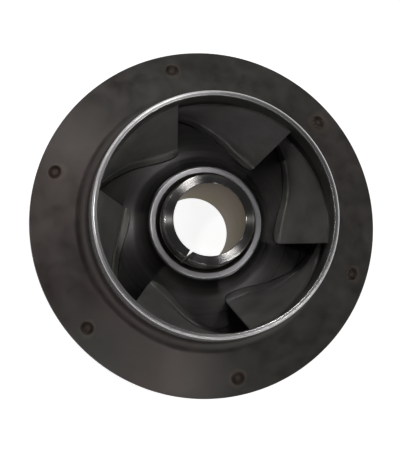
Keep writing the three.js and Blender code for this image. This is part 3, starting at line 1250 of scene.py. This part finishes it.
@dataclass
class BackShroud:
    """The trumpet between hub and rim, dull on its flow face and turned bright behind.

    The last field is the upward part of a face's normal below which the face is behind.
    """

    face: BackFace
    spots: WeldSpots
    band_thickness: float = 2.8 * MM
    band_inner: float = 43.6 * MM
    band_outer: float = 60.8 * MM
    fillet: float = 2.4 * MM
    fillet_edge: float = 1.2 * MM
    fillet_middle: float = 0.8 * MM
    chamfer: float = 0.6 * MM
    chamfer_edge: float = 0.25 * MM
    step_edge: float = 0.15 * MM
    edge: float = 0.3 * MM
    flow_radii: tuple[float, ...] = tuple(r * MM for r in range(67, 36, -4))
    well_past: float = 0.1 * MM
    fillet_short: float = 0.2 * MM
    behind_below: float = 0.05

    def section(self) -> np.ndarray:
        """The sheet's section, anticlockwise from the bore's lower edge."""
        face = self.face

        def under(radius: float, depth: float, rounding: float = 0.0) -> Corner:
            """A corner a depth below the flow face."""
            return Corner(radius, face.cone_height(radius, depth), rounding)

        middle_depth = (face.sheet + self.band_thickness) / 2
        return rounded([
            *face.bend(face.sheet),
            under(self.band_inner, face.sheet, self.fillet_edge),
            under(self.band_inner + self.fillet / 2, middle_depth, self.fillet_middle),
            under(self.band_inner + self.fillet, self.band_thickness, self.fillet_edge),
            under(self.band_outer - self.chamfer, self.band_thickness, self.chamfer_edge),
            under(self.band_outer, face.sheet, self.step_edge),
            under(face.rim_radius, face.sheet, self.edge),
            under(face.rim_radius, 0.0, self.edge),
            *(under(radius, 0.0) for radius in self.flow_radii),
            *reversed(face.bend(0.0)),
        ])

    def finish_behind(self, radius: float) -> BackFinish:
        """The finish behind the trumpet.

        Args:
            radius: the middle of a face, as a distance from the shaft axis.

        Returns:
            The face's finish.
        """
        past = radius - self.band_inner
        if past < self.well_past:
            return BackFinish.WELL
        return BackFinish.PAINTED_HIGHLIGHT_FILLET if past < self.fillet - self.fillet_short else BackFinish.BAND

    def build(self) -> bpy.types.Object:
        """Makes the trumpet, cuts the plug holes, finishes each side and hands it to the frame."""
        made = cut(turned("back_shroud_sheet", self.section()), self.spots.holes())
        finishes = {
            BackFinish.FLOW: TurnedSteel(
                "back sheet flow face",
                (0.105, 0.10, 0.10),
                roughness=0.31,
                stretch=0.85,
                stain=(0.088, 0.092, 0.084),
            ),
            BackFinish.BAND: TurnedSteel(
                "back sheet turned side",
                (0.50, 0.465, 0.475),
                roughness=0.3,
                stain=(0.40, 0.33, 0.29),
                tint=HeatTint(self.spots.ring, spread=10 * MM, strength=0.75),
            ),
            BackFinish.WELL: PressedSteel(
                "well behind the trumpet", (0.24, 0.225, 0.23), ((0.23, 0.215, 0.21), (0.25, 0.235, 0.24))
            ),
            # Near-white copy of the turned steel on the fillet: painted highlight
            BackFinish.PAINTED_HIGHLIGHT_FILLET: TurnedSteel(
                "turned fillet painted highlight", (0.92, 0.89, 0.89), roughness=0.3, stain_share=0.2
            ),
        }
        coat(made, *(finishes[part] for part in BackFinish))
        for polygon in made.data.polygons:
            if polygon.normal.z < self.behind_below:
                radius = math.hypot(polygon.center.x, polygon.center.y)
                polygon.material_index = self.finish_behind(radius)
        return dressed(made, ["back_shroud"])


@dataclass
class HubTube:
    """The hub's turned tube, whose bright end rings show on both sides.

    The last three fields are parts of a face's normal: the upward part from which it is flat, the
    outward part below which it is the bore, and the upward part below which it is the lower end. One
    turned steel is given lit and shaded copies by face: near-white on the outer wall and rounded edges
    as a painted highlight, darker on the flat top and the lower end as painted shade, and dark in the
    bore and its countersink as painted shade.
    """

    radius: float = measured(reach, "hub")
    top: float = measured(top, "hub")
    bottom: float = measured(bottom, "hub")
    bore_bottom: float = 19.3 * MM
    bore_top: float = 20 * MM
    countersink: float = 1.6 * MM
    edge: float = 0.9 * MM
    bore_edge: float = 0.3 * MM
    countersink_edge: float = 0.15 * MM
    flat_from: float = 0.99
    bore_below: float = -0.35
    end_below: float = -0.9

    def build(self) -> bpy.types.Object:
        """Turns the tube and hands it to the frame."""
        section = rounded([
            Corner(self.bore_bottom, self.bottom, self.bore_edge),
            Corner(self.radius, self.bottom, self.edge),
            Corner(self.radius, self.top, self.edge),
            Corner(self.bore_top + self.countersink, self.top, self.edge),
            Corner(self.bore_top, self.top - self.countersink, self.countersink_edge),
        ])
        made = turned("hub_tube", section)
        # Near-white steel on the outer wall and rounded edges: painted highlight
        coat(made, TurnedSteel(
            "machined hub painted highlight", (0.94, 0.93, 0.95), roughness=0.36, stretch=0.6, stain_share=0.3
        ))
        # Darker copy on the flat top: painted shade
        flat = TurnedSteel("hub flat painted shade", (0.50, 0.49, 0.51), roughness=0.35, stretch=0.5, stain_share=0.3)
        paint(made, flat, lambda outward, up: up > self.flat_from)
        # Dark dull steel in the bore and its countersink: painted shade
        bore = PressedSteel(
            "hub bore painted shade", (0.12, 0.11, 0.10), ((0.12, 0.11, 0.10), (0.13, 0.12, 0.10)), roughness=0.45
        )
        paint(made, bore, lambda outward, up: outward < self.bore_below)
        # Darker copy on the lower end: painted shade
        end = TurnedSteel("hub end painted shade", (0.40, 0.39, 0.39), roughness=0.4, stretch=0.6, stain_share=0.3)
        paint(made, end, lambda outward, up: up < self.end_below)
        return dressed(made, ["hub"])


@dataclass
class HubFlange:
    """The turned plate behind the trumpet, open in the middle with two flats.

    The last two fields say which faces are bright edges, a lighter copy of the plate's steel as a
    painted highlight: those that face down at least a little and lean outwards or inwards at least so far.
    """

    face: BackFace
    radius: float = measured(reach, "hub_flange")
    face_height: float = measured(bottom, "hub_flange")
    chamfer: float = 1 * MM
    edge: float = 0.15 * MM
    seat: float = 0.1 * MM
    half_flat: float = 31.5 * MM
    half_height: float = 32.2 * MM
    arc_radius: float = 35.6 * MM
    corner_power: float = 70.0
    steps: int = 480
    least_across: float = 1e-9
    down_below: float = -0.1
    lean_from: float = 0.25

    def opening(self, turn: float, allowance: float) -> float:
        """The opening's radius in one direction.

        Args:
            turn: the direction, in radians from +X.
            allowance: how much the opening is grown.

        Returns:
            The radius, with the corners between flats and arcs a little rounded.
        """
        across, up = abs(math.cos(turn)), abs(math.sin(turn))
        flat = (self.half_flat + allowance) / max(across, self.least_across)
        offset = self.arc_radius - self.half_height
        reach_out = self.arc_radius + allowance
        curved = -offset * up + math.sqrt(reach_out**2 - (offset * across) ** 2)
        power = self.corner_power
        return (flat**-power + curved**-power) ** (-1 / power)

    def section(self, turn: float) -> np.ndarray:
        """The plate's section in one direction.

        Args:
            turn: the direction, in radians from +X.

        Returns:
            Its points, one row of radius and height for each.
        """
        inner, depth = self.opening(turn, 0.0), self.face.sheet + self.seat
        return rounded([
            Corner(inner, self.face_height + self.chamfer, self.edge),
            Corner(self.opening(turn, self.chamfer), self.face_height, self.edge),
            Corner(self.radius - self.chamfer, self.face_height, self.edge),
            Corner(self.radius, self.face_height + self.chamfer, self.edge),
            Corner(self.radius, self.face.cone_height(self.radius, depth)),
            Corner(inner, self.face.cone_height(inner, depth)),
        ])

    def build(self) -> bpy.types.Object:
        """Makes the plate and hands it to the frame."""
        turns = circle(self.steps)
        made = swept("hub_flange_plate", ringed(np.array([self.section(float(t)) for t in turns]), turns))
        coat(made, TurnedSteel(
            "turned flange", (0.30, 0.285, 0.285), roughness=0.3, stain=(0.30, 0.25, 0.15), stain_share=0.6
        ))
        # Lighter copy on the chamfers that face down: painted highlight
        edge = TurnedSteel("flange edges painted highlight", (0.82, 0.80, 0.80), roughness=0.3, stain_share=0.2)
        paint(made, edge, lambda outward, up: up < self.down_below and abs(outward) > self.lean_from)
        return dressed(made, ["hub_flange"])


@dataclass
class SplitSleeve:
    """The slit sleeve that clamps the shaft in the hub.

    The last two fields are parts of a face's normal: the outward part below which it is the bore, and
    the upward part below which it is the foot. The bore, the slit's two sides and the foot get darker
    copies of the sleeve's steel as painted shade; the olive stain in the bore is its own.
    """

    hub_top: float = measured(top, "hub")
    top: float = measured(top, "split_sleeve")
    bottom: float = measured(bottom, "split_sleeve")
    bore: float = 15.5 * MM
    foot_radius: float = 19 * MM
    fit_radius: float = 19.7 * MM
    fit_depth: float = 0.3 * MM
    lip_radius: float = 19.4 * MM
    bore_edge: float = 0.5 * MM
    foot_edge: float = 0.3 * MM
    lip_edge: float = 0.1 * MM
    chamfer: float = 0.35 * MM
    slit: float = 1.4 * MM
    slit_angle: float = math.radians(240)
    steps: int = 361
    bore_below: float = -0.8
    foot_below: float = -0.3

    def build(self) -> bpy.types.Object:
        """Turns the sleeve from one side of its slit to the other and hands it to the frame."""
        section = rounded([
            Corner(self.bore, self.bottom, self.bore_edge),
            Corner(self.foot_radius, self.bottom, self.foot_edge),
            Corner(self.fit_radius, self.hub_top - self.fit_depth),
            Corner(self.lip_radius, self.hub_top, self.lip_edge),
            Corner(self.lip_radius, self.top, self.chamfer),
            Corner(self.bore, self.top, self.chamfer),
        ])
        half = np.arcsin(self.slit / 2 / section[:, 0])
        turns = self.slit_angle + half + np.outer(np.linspace(0, 1, self.steps), FULL_TURN - 2 * half)
        made = swept("slit_sleeve", ringed(section, turns), closed=False)
        coat(made, TurnedSteel(
            "sleeve steel",
            (0.50, 0.485, 0.475),
            roughness=0.17,
            stretch=1.0,
            stain=(0.26, 0.23, 0.19),
            stain_share=0.3,
        ))
        # Darker copy in the bore, with a dulled glancing reflection: painted shade; its olive stain is real
        bore = TurnedSteel(
            "sleeve bore painted shade",
            (0.25, 0.225, 0.205),
            roughness=0.45,
            stretch=0.0,
            stain=(0.20, 0.20, 0.12),
            stain_share=0.8,
            edge_colour=(0.44, 0.41, 0.375),
        )
        paint(made, bore, lambda outward, up: outward < self.bore_below)
        # Darker copy on the foot: painted shade
        foot = TurnedSteel("sleeve foot painted shade", (0.20, 0.19, 0.18), roughness=0.4, stain_share=0.3)
        paint(made, foot, lambda outward, up: up < self.foot_below)
        # The slit's two sides take the bore's finish: painted shade in the slit
        for side in list(made.data.polygons)[-2:]:
            side.material_index = 1
        return dressed(made, ["split_sleeve"])


@dataclass
class Blades:
    """Six blades, each a twisted sheet folded over into tabs that are spot-welded to the shrouds."""

    front: FrontFace
    back: BackFace
    thickness: float = 1.6 * MM
    nose_share: float = 0.5
    nose_length: float = 0.05
    neck_start_height: float = 59 * MM
    hub_turn: float = math.radians(99)
    hub_radii: tuple[float, ...] = (34.8 * MM, 36.4 * MM, 42.3 * MM, 49.1 * MM, 55.3 * MM, 61.9 * MM)
    shroud_turn: float = math.radians(122)
    outlet_rate: float = 0.28
    last_share: float = 0.985
    fold_radius: float = 2.2 * MM
    fold_share: float = 0.9
    tab_lift: float = 0.4 * MM
    head_lift: float = 0.2 * MM
    tab_width: float = 4 * MM
    tab_end_width: float = 2.2 * MM
    tab_end_share: float = 0.07
    slope_step: float = 1e-3
    stream_steps: int = 110
    tab_steps: int = 3
    # The columns from the tab's edge into the fold that get the tab's dark finish: painted shade in the
    # crease
    painted_shade_columns: int = 7
    fold_steps: int = 7
    wall_steps: int = 18
    edge: float = 0.28 * MM
    edge_steps: int = 2
    edge_from: float = math.radians(50)

    def hub_edge(self, share: float) -> tuple[float, float]:
        """The blade's edge on the hub's face, where the tab is folded over.

        Args:
            share: how much of the edge's turn lies behind, from inlet to outlet.

        Returns:
            The angle and the run along the face.
        """
        radii = (*self.hub_radii, self.back.rim_radius)
        runs = [(r - radii[0]) / math.cos(self.back.slope) for r in radii]
        return self.hub_turn * share, self.smooth(runs, share)

    def shroud_edge(self, share: float) -> tuple[float, float]:
        """The blade's edge on the front shroud, whose turning slows evenly along the run.

        Args:
            share: how much of the edge's turn lies behind, from inlet to outlet.

        Returns:
            The angle and the run along the face.
        """
        left = math.sqrt(1 - (1 - self.outlet_rate**2) * min(share, 1.0))
        run_share = (1 - left) / (1 - self.outlet_rate)
        return self.shroud_turn * share, self.front.inside_run(self.neck_start_height) * run_share

    @staticmethod
    def smooth(values: Sequence[float], share: float) -> float:
        """A smooth line through evenly spaced values.

        Args:
            values: the values.
            share: how far along the line it is read, from 0 to 1.

        Returns:
            The value there.
        """
        spans = len(values) - 1
        at = min(max(share, 0.0), 1.0) * spans
        i = min(int(at), spans - 1)
        t = at - i
        p0, p1, p2, p3 = (values[min(max(k, 0), spans)] for k in (i - 1, i, i + 1, i + 2))
        v0, v1 = (p2 - p0) / 2, (p3 - p1) / 2
        cubic = (2 * p1 - 2 * p2 + v0 + v1) * t**3 + (-3 * p1 + 3 * p2 - 2 * v0 - v1) * t**2
        return cubic + v0 * t + p1

    def hub_point(self, angle: float, run: float, lift: float) -> np.ndarray:
        """A point above the hub's flow face."""
        radius, height, out, up = self.back.flow(run, self.hub_radii[0])
        return around(radius + lift * out, height + lift * up, angle)

    def shroud_point(self, angle: float, run: float, lift: float) -> np.ndarray:
        """A point inside the front shroud's inner face."""
        radius, height, out, up = self.front.inside(run, self.neck_start_height)
        return around(radius + lift * out, height + lift * up, angle)

    def inward(self, share: float, width: float) -> tuple[float, float]:
        """A place on the hub's face, beside the fold on the side of the axis.

        Args:
            share: where the fold is, as a share of the edge's turn.
            width: how far the place is from the fold.

        Returns:
            The place's angle and run along the face.
        """
        angle, run = self.hub_edge(share)
        next_angle, next_run = self.hub_edge(min(share + self.slope_step, 1.0))
        last_angle, last_run = self.hub_edge(max(share - self.slope_step, 0.0))
        radius = self.back.flow(run, self.hub_radii[0])[0]
        turn, advance = radius * (next_angle - last_angle), next_run - last_run
        length = math.hypot(turn, advance)
        return angle + width * advance / length / radius, run - width * turn / length

    def section(self, share: float) -> np.ndarray:
        """The blade's middle line across the passage, from the tab's edge to the shroud.

        Args:
            share: how much of the turn lies behind, from inlet to outlet.

        Returns:
            The line's points.
        """
        ease = math.sqrt(min(1.0, min(share, 1 - share) / self.tab_end_share))
        width = self.tab_end_width + (self.tab_width - self.tab_end_width) * ease
        corner = self.hub_point(*self.hub_edge(share), self.tab_lift)
        tip = self.hub_point(*self.inward(share, width), self.tab_lift)
        head = self.shroud_point(*self.shroud_edge(share), self.head_lift)
        along_tab = (tip - corner) / np.linalg.norm(tip - corner)
        up_wall = (head - corner) / np.linalg.norm(head - corner)
        half_angle = math.acos(float(np.clip(along_tab @ up_wall, -1, 1))) / 2
        tangent = min(self.fold_radius / math.tan(half_angle), self.fold_share * width)
        start, stop = corner + along_tab * tangent, corner + up_wall * tangent
        tab = [tip + (start - tip) * i / self.tab_steps for i in range(self.tab_steps)]
        fold = []
        for i in range(self.fold_steps):
            t = i / self.fold_steps
            fold.append((1 - t) ** 2 * start + 2 * t * (1 - t) * corner + t * t * stop)
        wall = [stop + (head - stop) * i / self.wall_steps for i in range(self.wall_steps + 1)]
        return np.array(tab + fold + wall)

    def sheet(self, name: str) -> bpy.types.Object:
        """One blade at angle zero: its middle surface thickened to both sides.

        Args:
            name: the object's name.

        Returns:
            The blade, with no finish yet and the faces of its tab and part of its fold marked for the second
            one, a dark painted shade.
        """
        shares = np.linspace(0, self.last_share, self.stream_steps + 1)
        middle = np.array([self.section(float(s)) for s in shares])
        along = np.gradient(middle, axis=0)
        across = np.gradient(middle, axis=1)
        normal = np.cross(across, along)
        normal /= np.linalg.norm(normal, axis=2, keepdims=True)
        nose = np.minimum(1, self.nose_share + (1 - self.nose_share) * shares / self.nose_length)
        offset = normal * (nose * self.thickness / 2)[:, None, None]
        rows, columns, _ = middle.shape
        points = np.concatenate([(middle + offset).reshape(-1, 3), (middle - offset).reshape(-1, 3)])
        build = bmesh.new()
        verts = [build.verts.new(p) for p in points]
        below = rows * columns

        def face(corners: Sequence[int], in_painted_shade: bool) -> None:
            """Adds a face with the blade's finish, or with the tab's dark painted shade."""
            build.faces.new([verts[k] for k in corners]).material_index = int(in_painted_shade)

        for i in range(rows - 1):
            for j in range(columns - 1):
                a, b, c, d = (r * columns + k for r, k in ((i, j), (i, j + 1), (i + 1, j + 1), (i + 1, j)))
                face((a, b, c, d), j < self.painted_shade_columns)
                face((d + below, c + below, b + below, a + below), j < self.painted_shade_columns)
        outlet = [(rows - 1, j) for j in range(1, columns)]
        head = [(i, columns - 1) for i in range(rows - 2, -1, -1)]
        inlet = [(0, j) for j in range(columns - 2, 0, -1)]
        rim = [(i, 0) for i in range(rows)] + outlet + head + inlet
        for (i, j), (k, m) in zip(rim, rim[1:] + rim[:1]):
            a, b = i * columns + j, k * columns + m
            face((a, b, b + below, a + below), max(j, m) <= self.painted_shade_columns)
        bmesh.ops.recalc_face_normals(build, faces=build.faces[:])
        made = from_bmesh(name, build)
        rounding = made.modifiers.new("edges", "BEVEL")
        rounding.width = self.edge
        rounding.segments = self.edge_steps
        rounding.limit_method = "ANGLE"
        rounding.angle_limit = self.edge_from
        return settled(made)

    def build(self, array: RingArray) -> bpy.types.Object:
        """Makes the six blades and hands them to the frame.

        Args:
            array: the nodes that repeat a piece round the axis.

        Returns:
            The finished piece.
        """
        blade = self.sheet("twisted_blades")
        sheet = PressedSteel(
            "blade sheet",
            (0.42, 0.412, 0.394),
            ((0.405, 0.405, 0.378), (0.43, 0.414, 0.41)),
            roughness=0.45,
            rub=0.14,
            metallic=0.75,
        )
        # Dark copy of the sheet on the tab and part of the fold: painted shade in the crease
        tab = PressedSteel(
            "blade tab painted shade", (0.12, 0.12, 0.115), ((0.12, 0.12, 0.11), (0.12, 0.115, 0.115)), rub=0.1
        )
        coat(blade, sheet, tab)
        nodes = [f"blade_{i + 1}" for i in range(BLADES)]
        return dressed(array.repeat(blade, FIRST_BLADE_ANGLE), nodes)


# Studio


@dataclass(frozen=True)
class Softbox:
    """A rectangular area light that looks at the impeller.

    Args:
        name: the light's name.
        azimuth: the direction that it stands in, in degrees from +X.
        tilt: how far from straight above it stands, in degrees.
        width: its size round the shaft axis.
        height: its size towards the zenith.
        brightness: the light's radiance.
        distance: how far away it stands.
    """

    name: str
    azimuth: float
    tilt: float
    width: float
    height: float
    brightness: float
    distance: float = 1.3

    def build(self, target: Vector) -> None:
        """Hangs the light.

        Args:
            target: the point that it looks at, and that its distance is measured from.
        """
        tilt = math.radians(self.tilt)
        away = Vector(around(math.sin(tilt), math.cos(tilt), math.radians(self.azimuth)))
        light = bpy.data.lights.new(self.name, "AREA")
        light.shape = "RECTANGLE"
        light.size = self.width
        light.size_y = self.height
        light.energy = self.brightness * math.pi * self.width * self.height
        lamp = bpy.data.objects.new(self.name, light)
        bpy.context.scene.collection.objects.link(lamp)
        lamp.location = target + away * self.distance
        lamp.rotation_mode = "QUATERNION"
        lamp.rotation_quaternion = away.to_track_quat("Z", "Y")


@dataclass(frozen=True)
class Floor:
    """A pale floor that glows a little, and that is clear from below so that the back shows.

    Its glow carries a painted shade under the impeller, with two painted light wedges in that shade, towards
    +Y and -Y.

    Args:
        size: the floor's width.
        drop: how far it lies below the impeller.
        colour: its colour.
        glow: its glow outside the shade.
        painted_shade_glow: its glow in the shade.
        painted_light_wedge_glow: its glow in the middle of a wedge.
        painted_shade_reach: the radius that the stops are shares of.
        painted_shade_stops: where the shade starts and ends, with 1 outside it and 0 in it.
        painted_light_wedge_power: how narrow the wedges are.
        painted_light_wedge_radii: the radii between which the wedges grow stronger.
        painted_light_wedge_shares: how strong they are at those radii.
    """

    size: float = 6.0
    drop: float = 0.02 * MM
    colour: Colour = (0.82, 0.82, 0.82)
    glow: float = 0.88
    # Painted shade under the impeller, and two painted light wedges in it towards +Y and -Y
    painted_shade_glow: float = 0.12
    painted_light_wedge_glow: float = 0.7
    painted_shade_reach: float = 0.1
    painted_shade_stops: tuple[tuple[float, float], ...] = ((0.162, 1.0), (0.17, 0.0), (0.63, 0.0), (0.68, 1.0))
    painted_light_wedge_power: float = 12.0
    painted_light_wedge_radii: Span = (27 * MM, 40 * MM)
    painted_light_wedge_shares: Span = (0.25, 1.0)

    def strength(self, sheet: MaterialSheet) -> Socket:
        """The glow's strength, by the place round the impeller, with the painted shade and painted light
        wedges in it.

        Args:
            sheet: the nodes of the floor's material.

        Returns:
            The strength.
        """
        radius, angle, _ = sheet.cylinder()
        # Painted shade: the glow drops under the impeller, except under the bore's middle
        lit = sheet.ramp(sheet.maths("DIVIDE", radius, self.painted_shade_reach), greys(self.painted_shade_stops))
        # Painted light: two wedges of that shade, towards +Y and -Y, glow brighter
        wedge = sheet.maths("POWER", sheet.maths("ABSOLUTE", sheet.maths("SINE", angle)), self.painted_light_wedge_power)
        wedge = sheet.maths("MULTIPLY", wedge, sheet.between(radius, self.painted_light_wedge_radii, self.painted_light_wedge_shares))
        dim = sheet.between(wedge, (0.0, 1.0), (self.painted_shade_glow, self.painted_light_wedge_glow))
        more = sheet.maths("MULTIPLY", sheet.maths("SUBTRACT", self.glow, dim), lit)
        return sheet.maths("ADD", more, dim)

    def material(self) -> bpy.types.Material:
        """Builds the material."""
        sheet = MaterialSheet("floor")
        sheet.tree.nodes.remove(sheet.shader)
        pale = sheet.add("ShaderNodeBsdfDiffuse", {"Color": self.colour})
        glow = sheet.add("ShaderNodeEmission", {"Strength": self.strength(sheet)})
        both = sheet.add("ShaderNodeAddShader", {0: pale.outputs[0], 1: glow.outputs[0]})
        clear = sheet.add("ShaderNodeBsdfTransparent")
        below = sheet.add("ShaderNodeNewGeometry").outputs["Backfacing"]
        sided = sheet.add("ShaderNodeMixShader", {0: below, 1: both.outputs[0], 2: clear.outputs[0]})
        sheet.feed(sided.outputs[0], sheet.tree.nodes["Material Output"].inputs["Surface"])
        return sheet.material

    def build(self) -> None:
        """Lays the floor and keeps it out of the part."""
        half = self.size / 2
        corners = [(-half, -half, 0), (half, -half, 0), (half, half, 0), (-half, half, 0)]
        mesh = bpy.data.meshes.new("floor")
        mesh.from_pydata(corners, [], [(0, 1, 2, 3)])
        floor = shown("floor", mesh)
        floor.location.z = -self.drop
        coat(floor, self)


@dataclass(frozen=True)
class Room:
    """The room's light: pale at the horizon, darker above it and where the photographer stands.

    Args:
        stops: shades of grey by height above the horizon, from 0 to 1.
        dark_side: the direction of the photographer, in degrees from +X.
        dark_grey: the grey there.
        heights: the heights between which that side grows dark.
        turns: how far a direction leans to that side where it starts and ends to grow dark.
        darkest: how much of the dark grey there is at most.
    """

    stops: tuple[tuple[float, float], ...] = (
        (0.0, 0.85), (0.05, 0.8), (0.3, 0.22), (0.5, 0.085), (0.85, 0.06), (0.95, 0.03)
    )
    dark_side: float = 228.0
    dark_grey: Colour = (0.03, 0.03, 0.03)
    heights: Span = (0.04, 0.16)
    turns: Span = (0.1, 0.6)
    darkest: float = 0.85

    def build(self) -> None:
        """Gives the scene the room as its world."""
        world = bpy.data.worlds.new("room")
        bpy.context.scene.world = world
        world.use_nodes = True
        sheet = NodeSheet(world.node_tree)
        direction = sheet.add("ShaderNodeTexCoord").outputs["Generated"]
        _, _, height = sheet.split(direction)
        side = math.radians(self.dark_side)
        leaning = sheet.vector_maths("DOT_PRODUCT", direction, (math.cos(side), math.sin(side), 0.0))
        most = sheet.between(height, self.heights, (0.0, self.darkest))
        dark = sheet.between(leaning, self.turns, (0.0, most))
        shade = sheet.mix(dark, sheet.ramp(height, greys(self.stops)), self.dark_grey)
        sheet.feed(shade, sheet.tree.nodes["Background"].inputs["Color"])


@dataclass(frozen=True)
class Camera:
    """The camera, set up where the photograph was taken from.

    Args:
        place: where it stands.
        target: what it looks at, which the softboxes look at too.
        up: the direction that is up in the picture.
        lens: its focal length in millimetres.
        nearest: where it starts to see.
    """

    place: tuple[float, float, float] = (-0.137, -0.106, 0.857)
    target: tuple[float, float, float] = (-0.0016, -0.0004, 0.033)
    up: tuple[float, float, float] = (0.0, 1.0, 0.0)
    lens: float = 156.6
    nearest: float = 0.05

    def build(self) -> None:
        """Sets the camera up and makes it the scene's."""
        data = bpy.data.cameras.new("camera")
        data.lens = self.lens
        data.clip_start = self.nearest
        camera = bpy.data.objects.new("camera", data)
        bpy.context.scene.collection.objects.link(camera)
        place = Vector(self.place)
        back = (place - Vector(self.target)).normalized()
        right = Vector(self.up).cross(back).normalized()
        turn = Matrix((right, back.cross(right), back)).transposed().to_4x4()
        camera.matrix_world = Matrix.Translation(place) @ turn
        bpy.context.scene.camera = camera


@dataclass(frozen=True)
class Studio:
    """The pale floor, the soft light and the camera."""

    floor: Floor = Floor()
    room: Room = Room()
    camera: Camera = Camera()
    softboxes: tuple[Softbox, ...] = (
        Softbox("far softbox", 90, 26, 0.12, 0.3, 16.0),
        Softbox("right softbox", 338, 22, 0.1, 0.28, 12.0),
        Softbox("near softbox", 272, 21, 0.06, 0.2, 3.0),
        Softbox("left softbox", 162, 22, 0.06, 0.08, 85.0),
        Softbox("upper left softbox", 133, 42, 0.12, 0.12, 9.0),
        Softbox("front softbox", 275, 37, 0.12, 0.12, 10.0),
        Softbox("low softbox", 236, 47, 0.7, 0.06, 3.8),
    )

    def build(self) -> None:
        """Sets up the whole studio."""
        bpy.context.scene.view_settings.view_transform = "Standard"
        self.floor.build()
        self.room.build()
        for softbox in self.softboxes:
            softbox.build(Vector(self.camera.target))
        self.camera.build()
        log.info("studio ready with %d softboxes", len(self.softboxes))


def main() -> None:
    """Builds every sub-assembly in order, and the studio round them."""
    logging.basicConfig(level=logging.INFO, format="%(name)s: %(message)s")
    front, back = FrontFace(), BackFace()
    array = RingArray()
    front_ring = spot_ring("front_weld_1", front.cone_height, front.slope)
    front_spots = WeldSpots(
        SpotSide.FRONT, front_ring, front.slope, front.sheet, (0.055, 0.042, 0.036), (0.13, 0.105, 0.09)
    )
    band = BackShroud.band_thickness
    back_ring = spot_ring("back_weld_1", lambda radius: back.cone_height(radius, band), back.slope)
    back_spots = WeldSpots(
        SpotSide.BACK, back_ring, back.slope, band, (0.09, 0.06, 0.045), (0.36, 0.27, 0.21)
    )
    Studio().build()
    NeckRing().build()
    FrontShroud(front, front_spots).build()
    BackShroud(back, back_spots).build()
    HubTube().build()
    HubFlange(back).build()
    SplitSleeve().build()
    Blades(front, back).build(array)
    front_spots.build(array)
    back_spots.build(array)


if __name__ == "__main__":
    main()
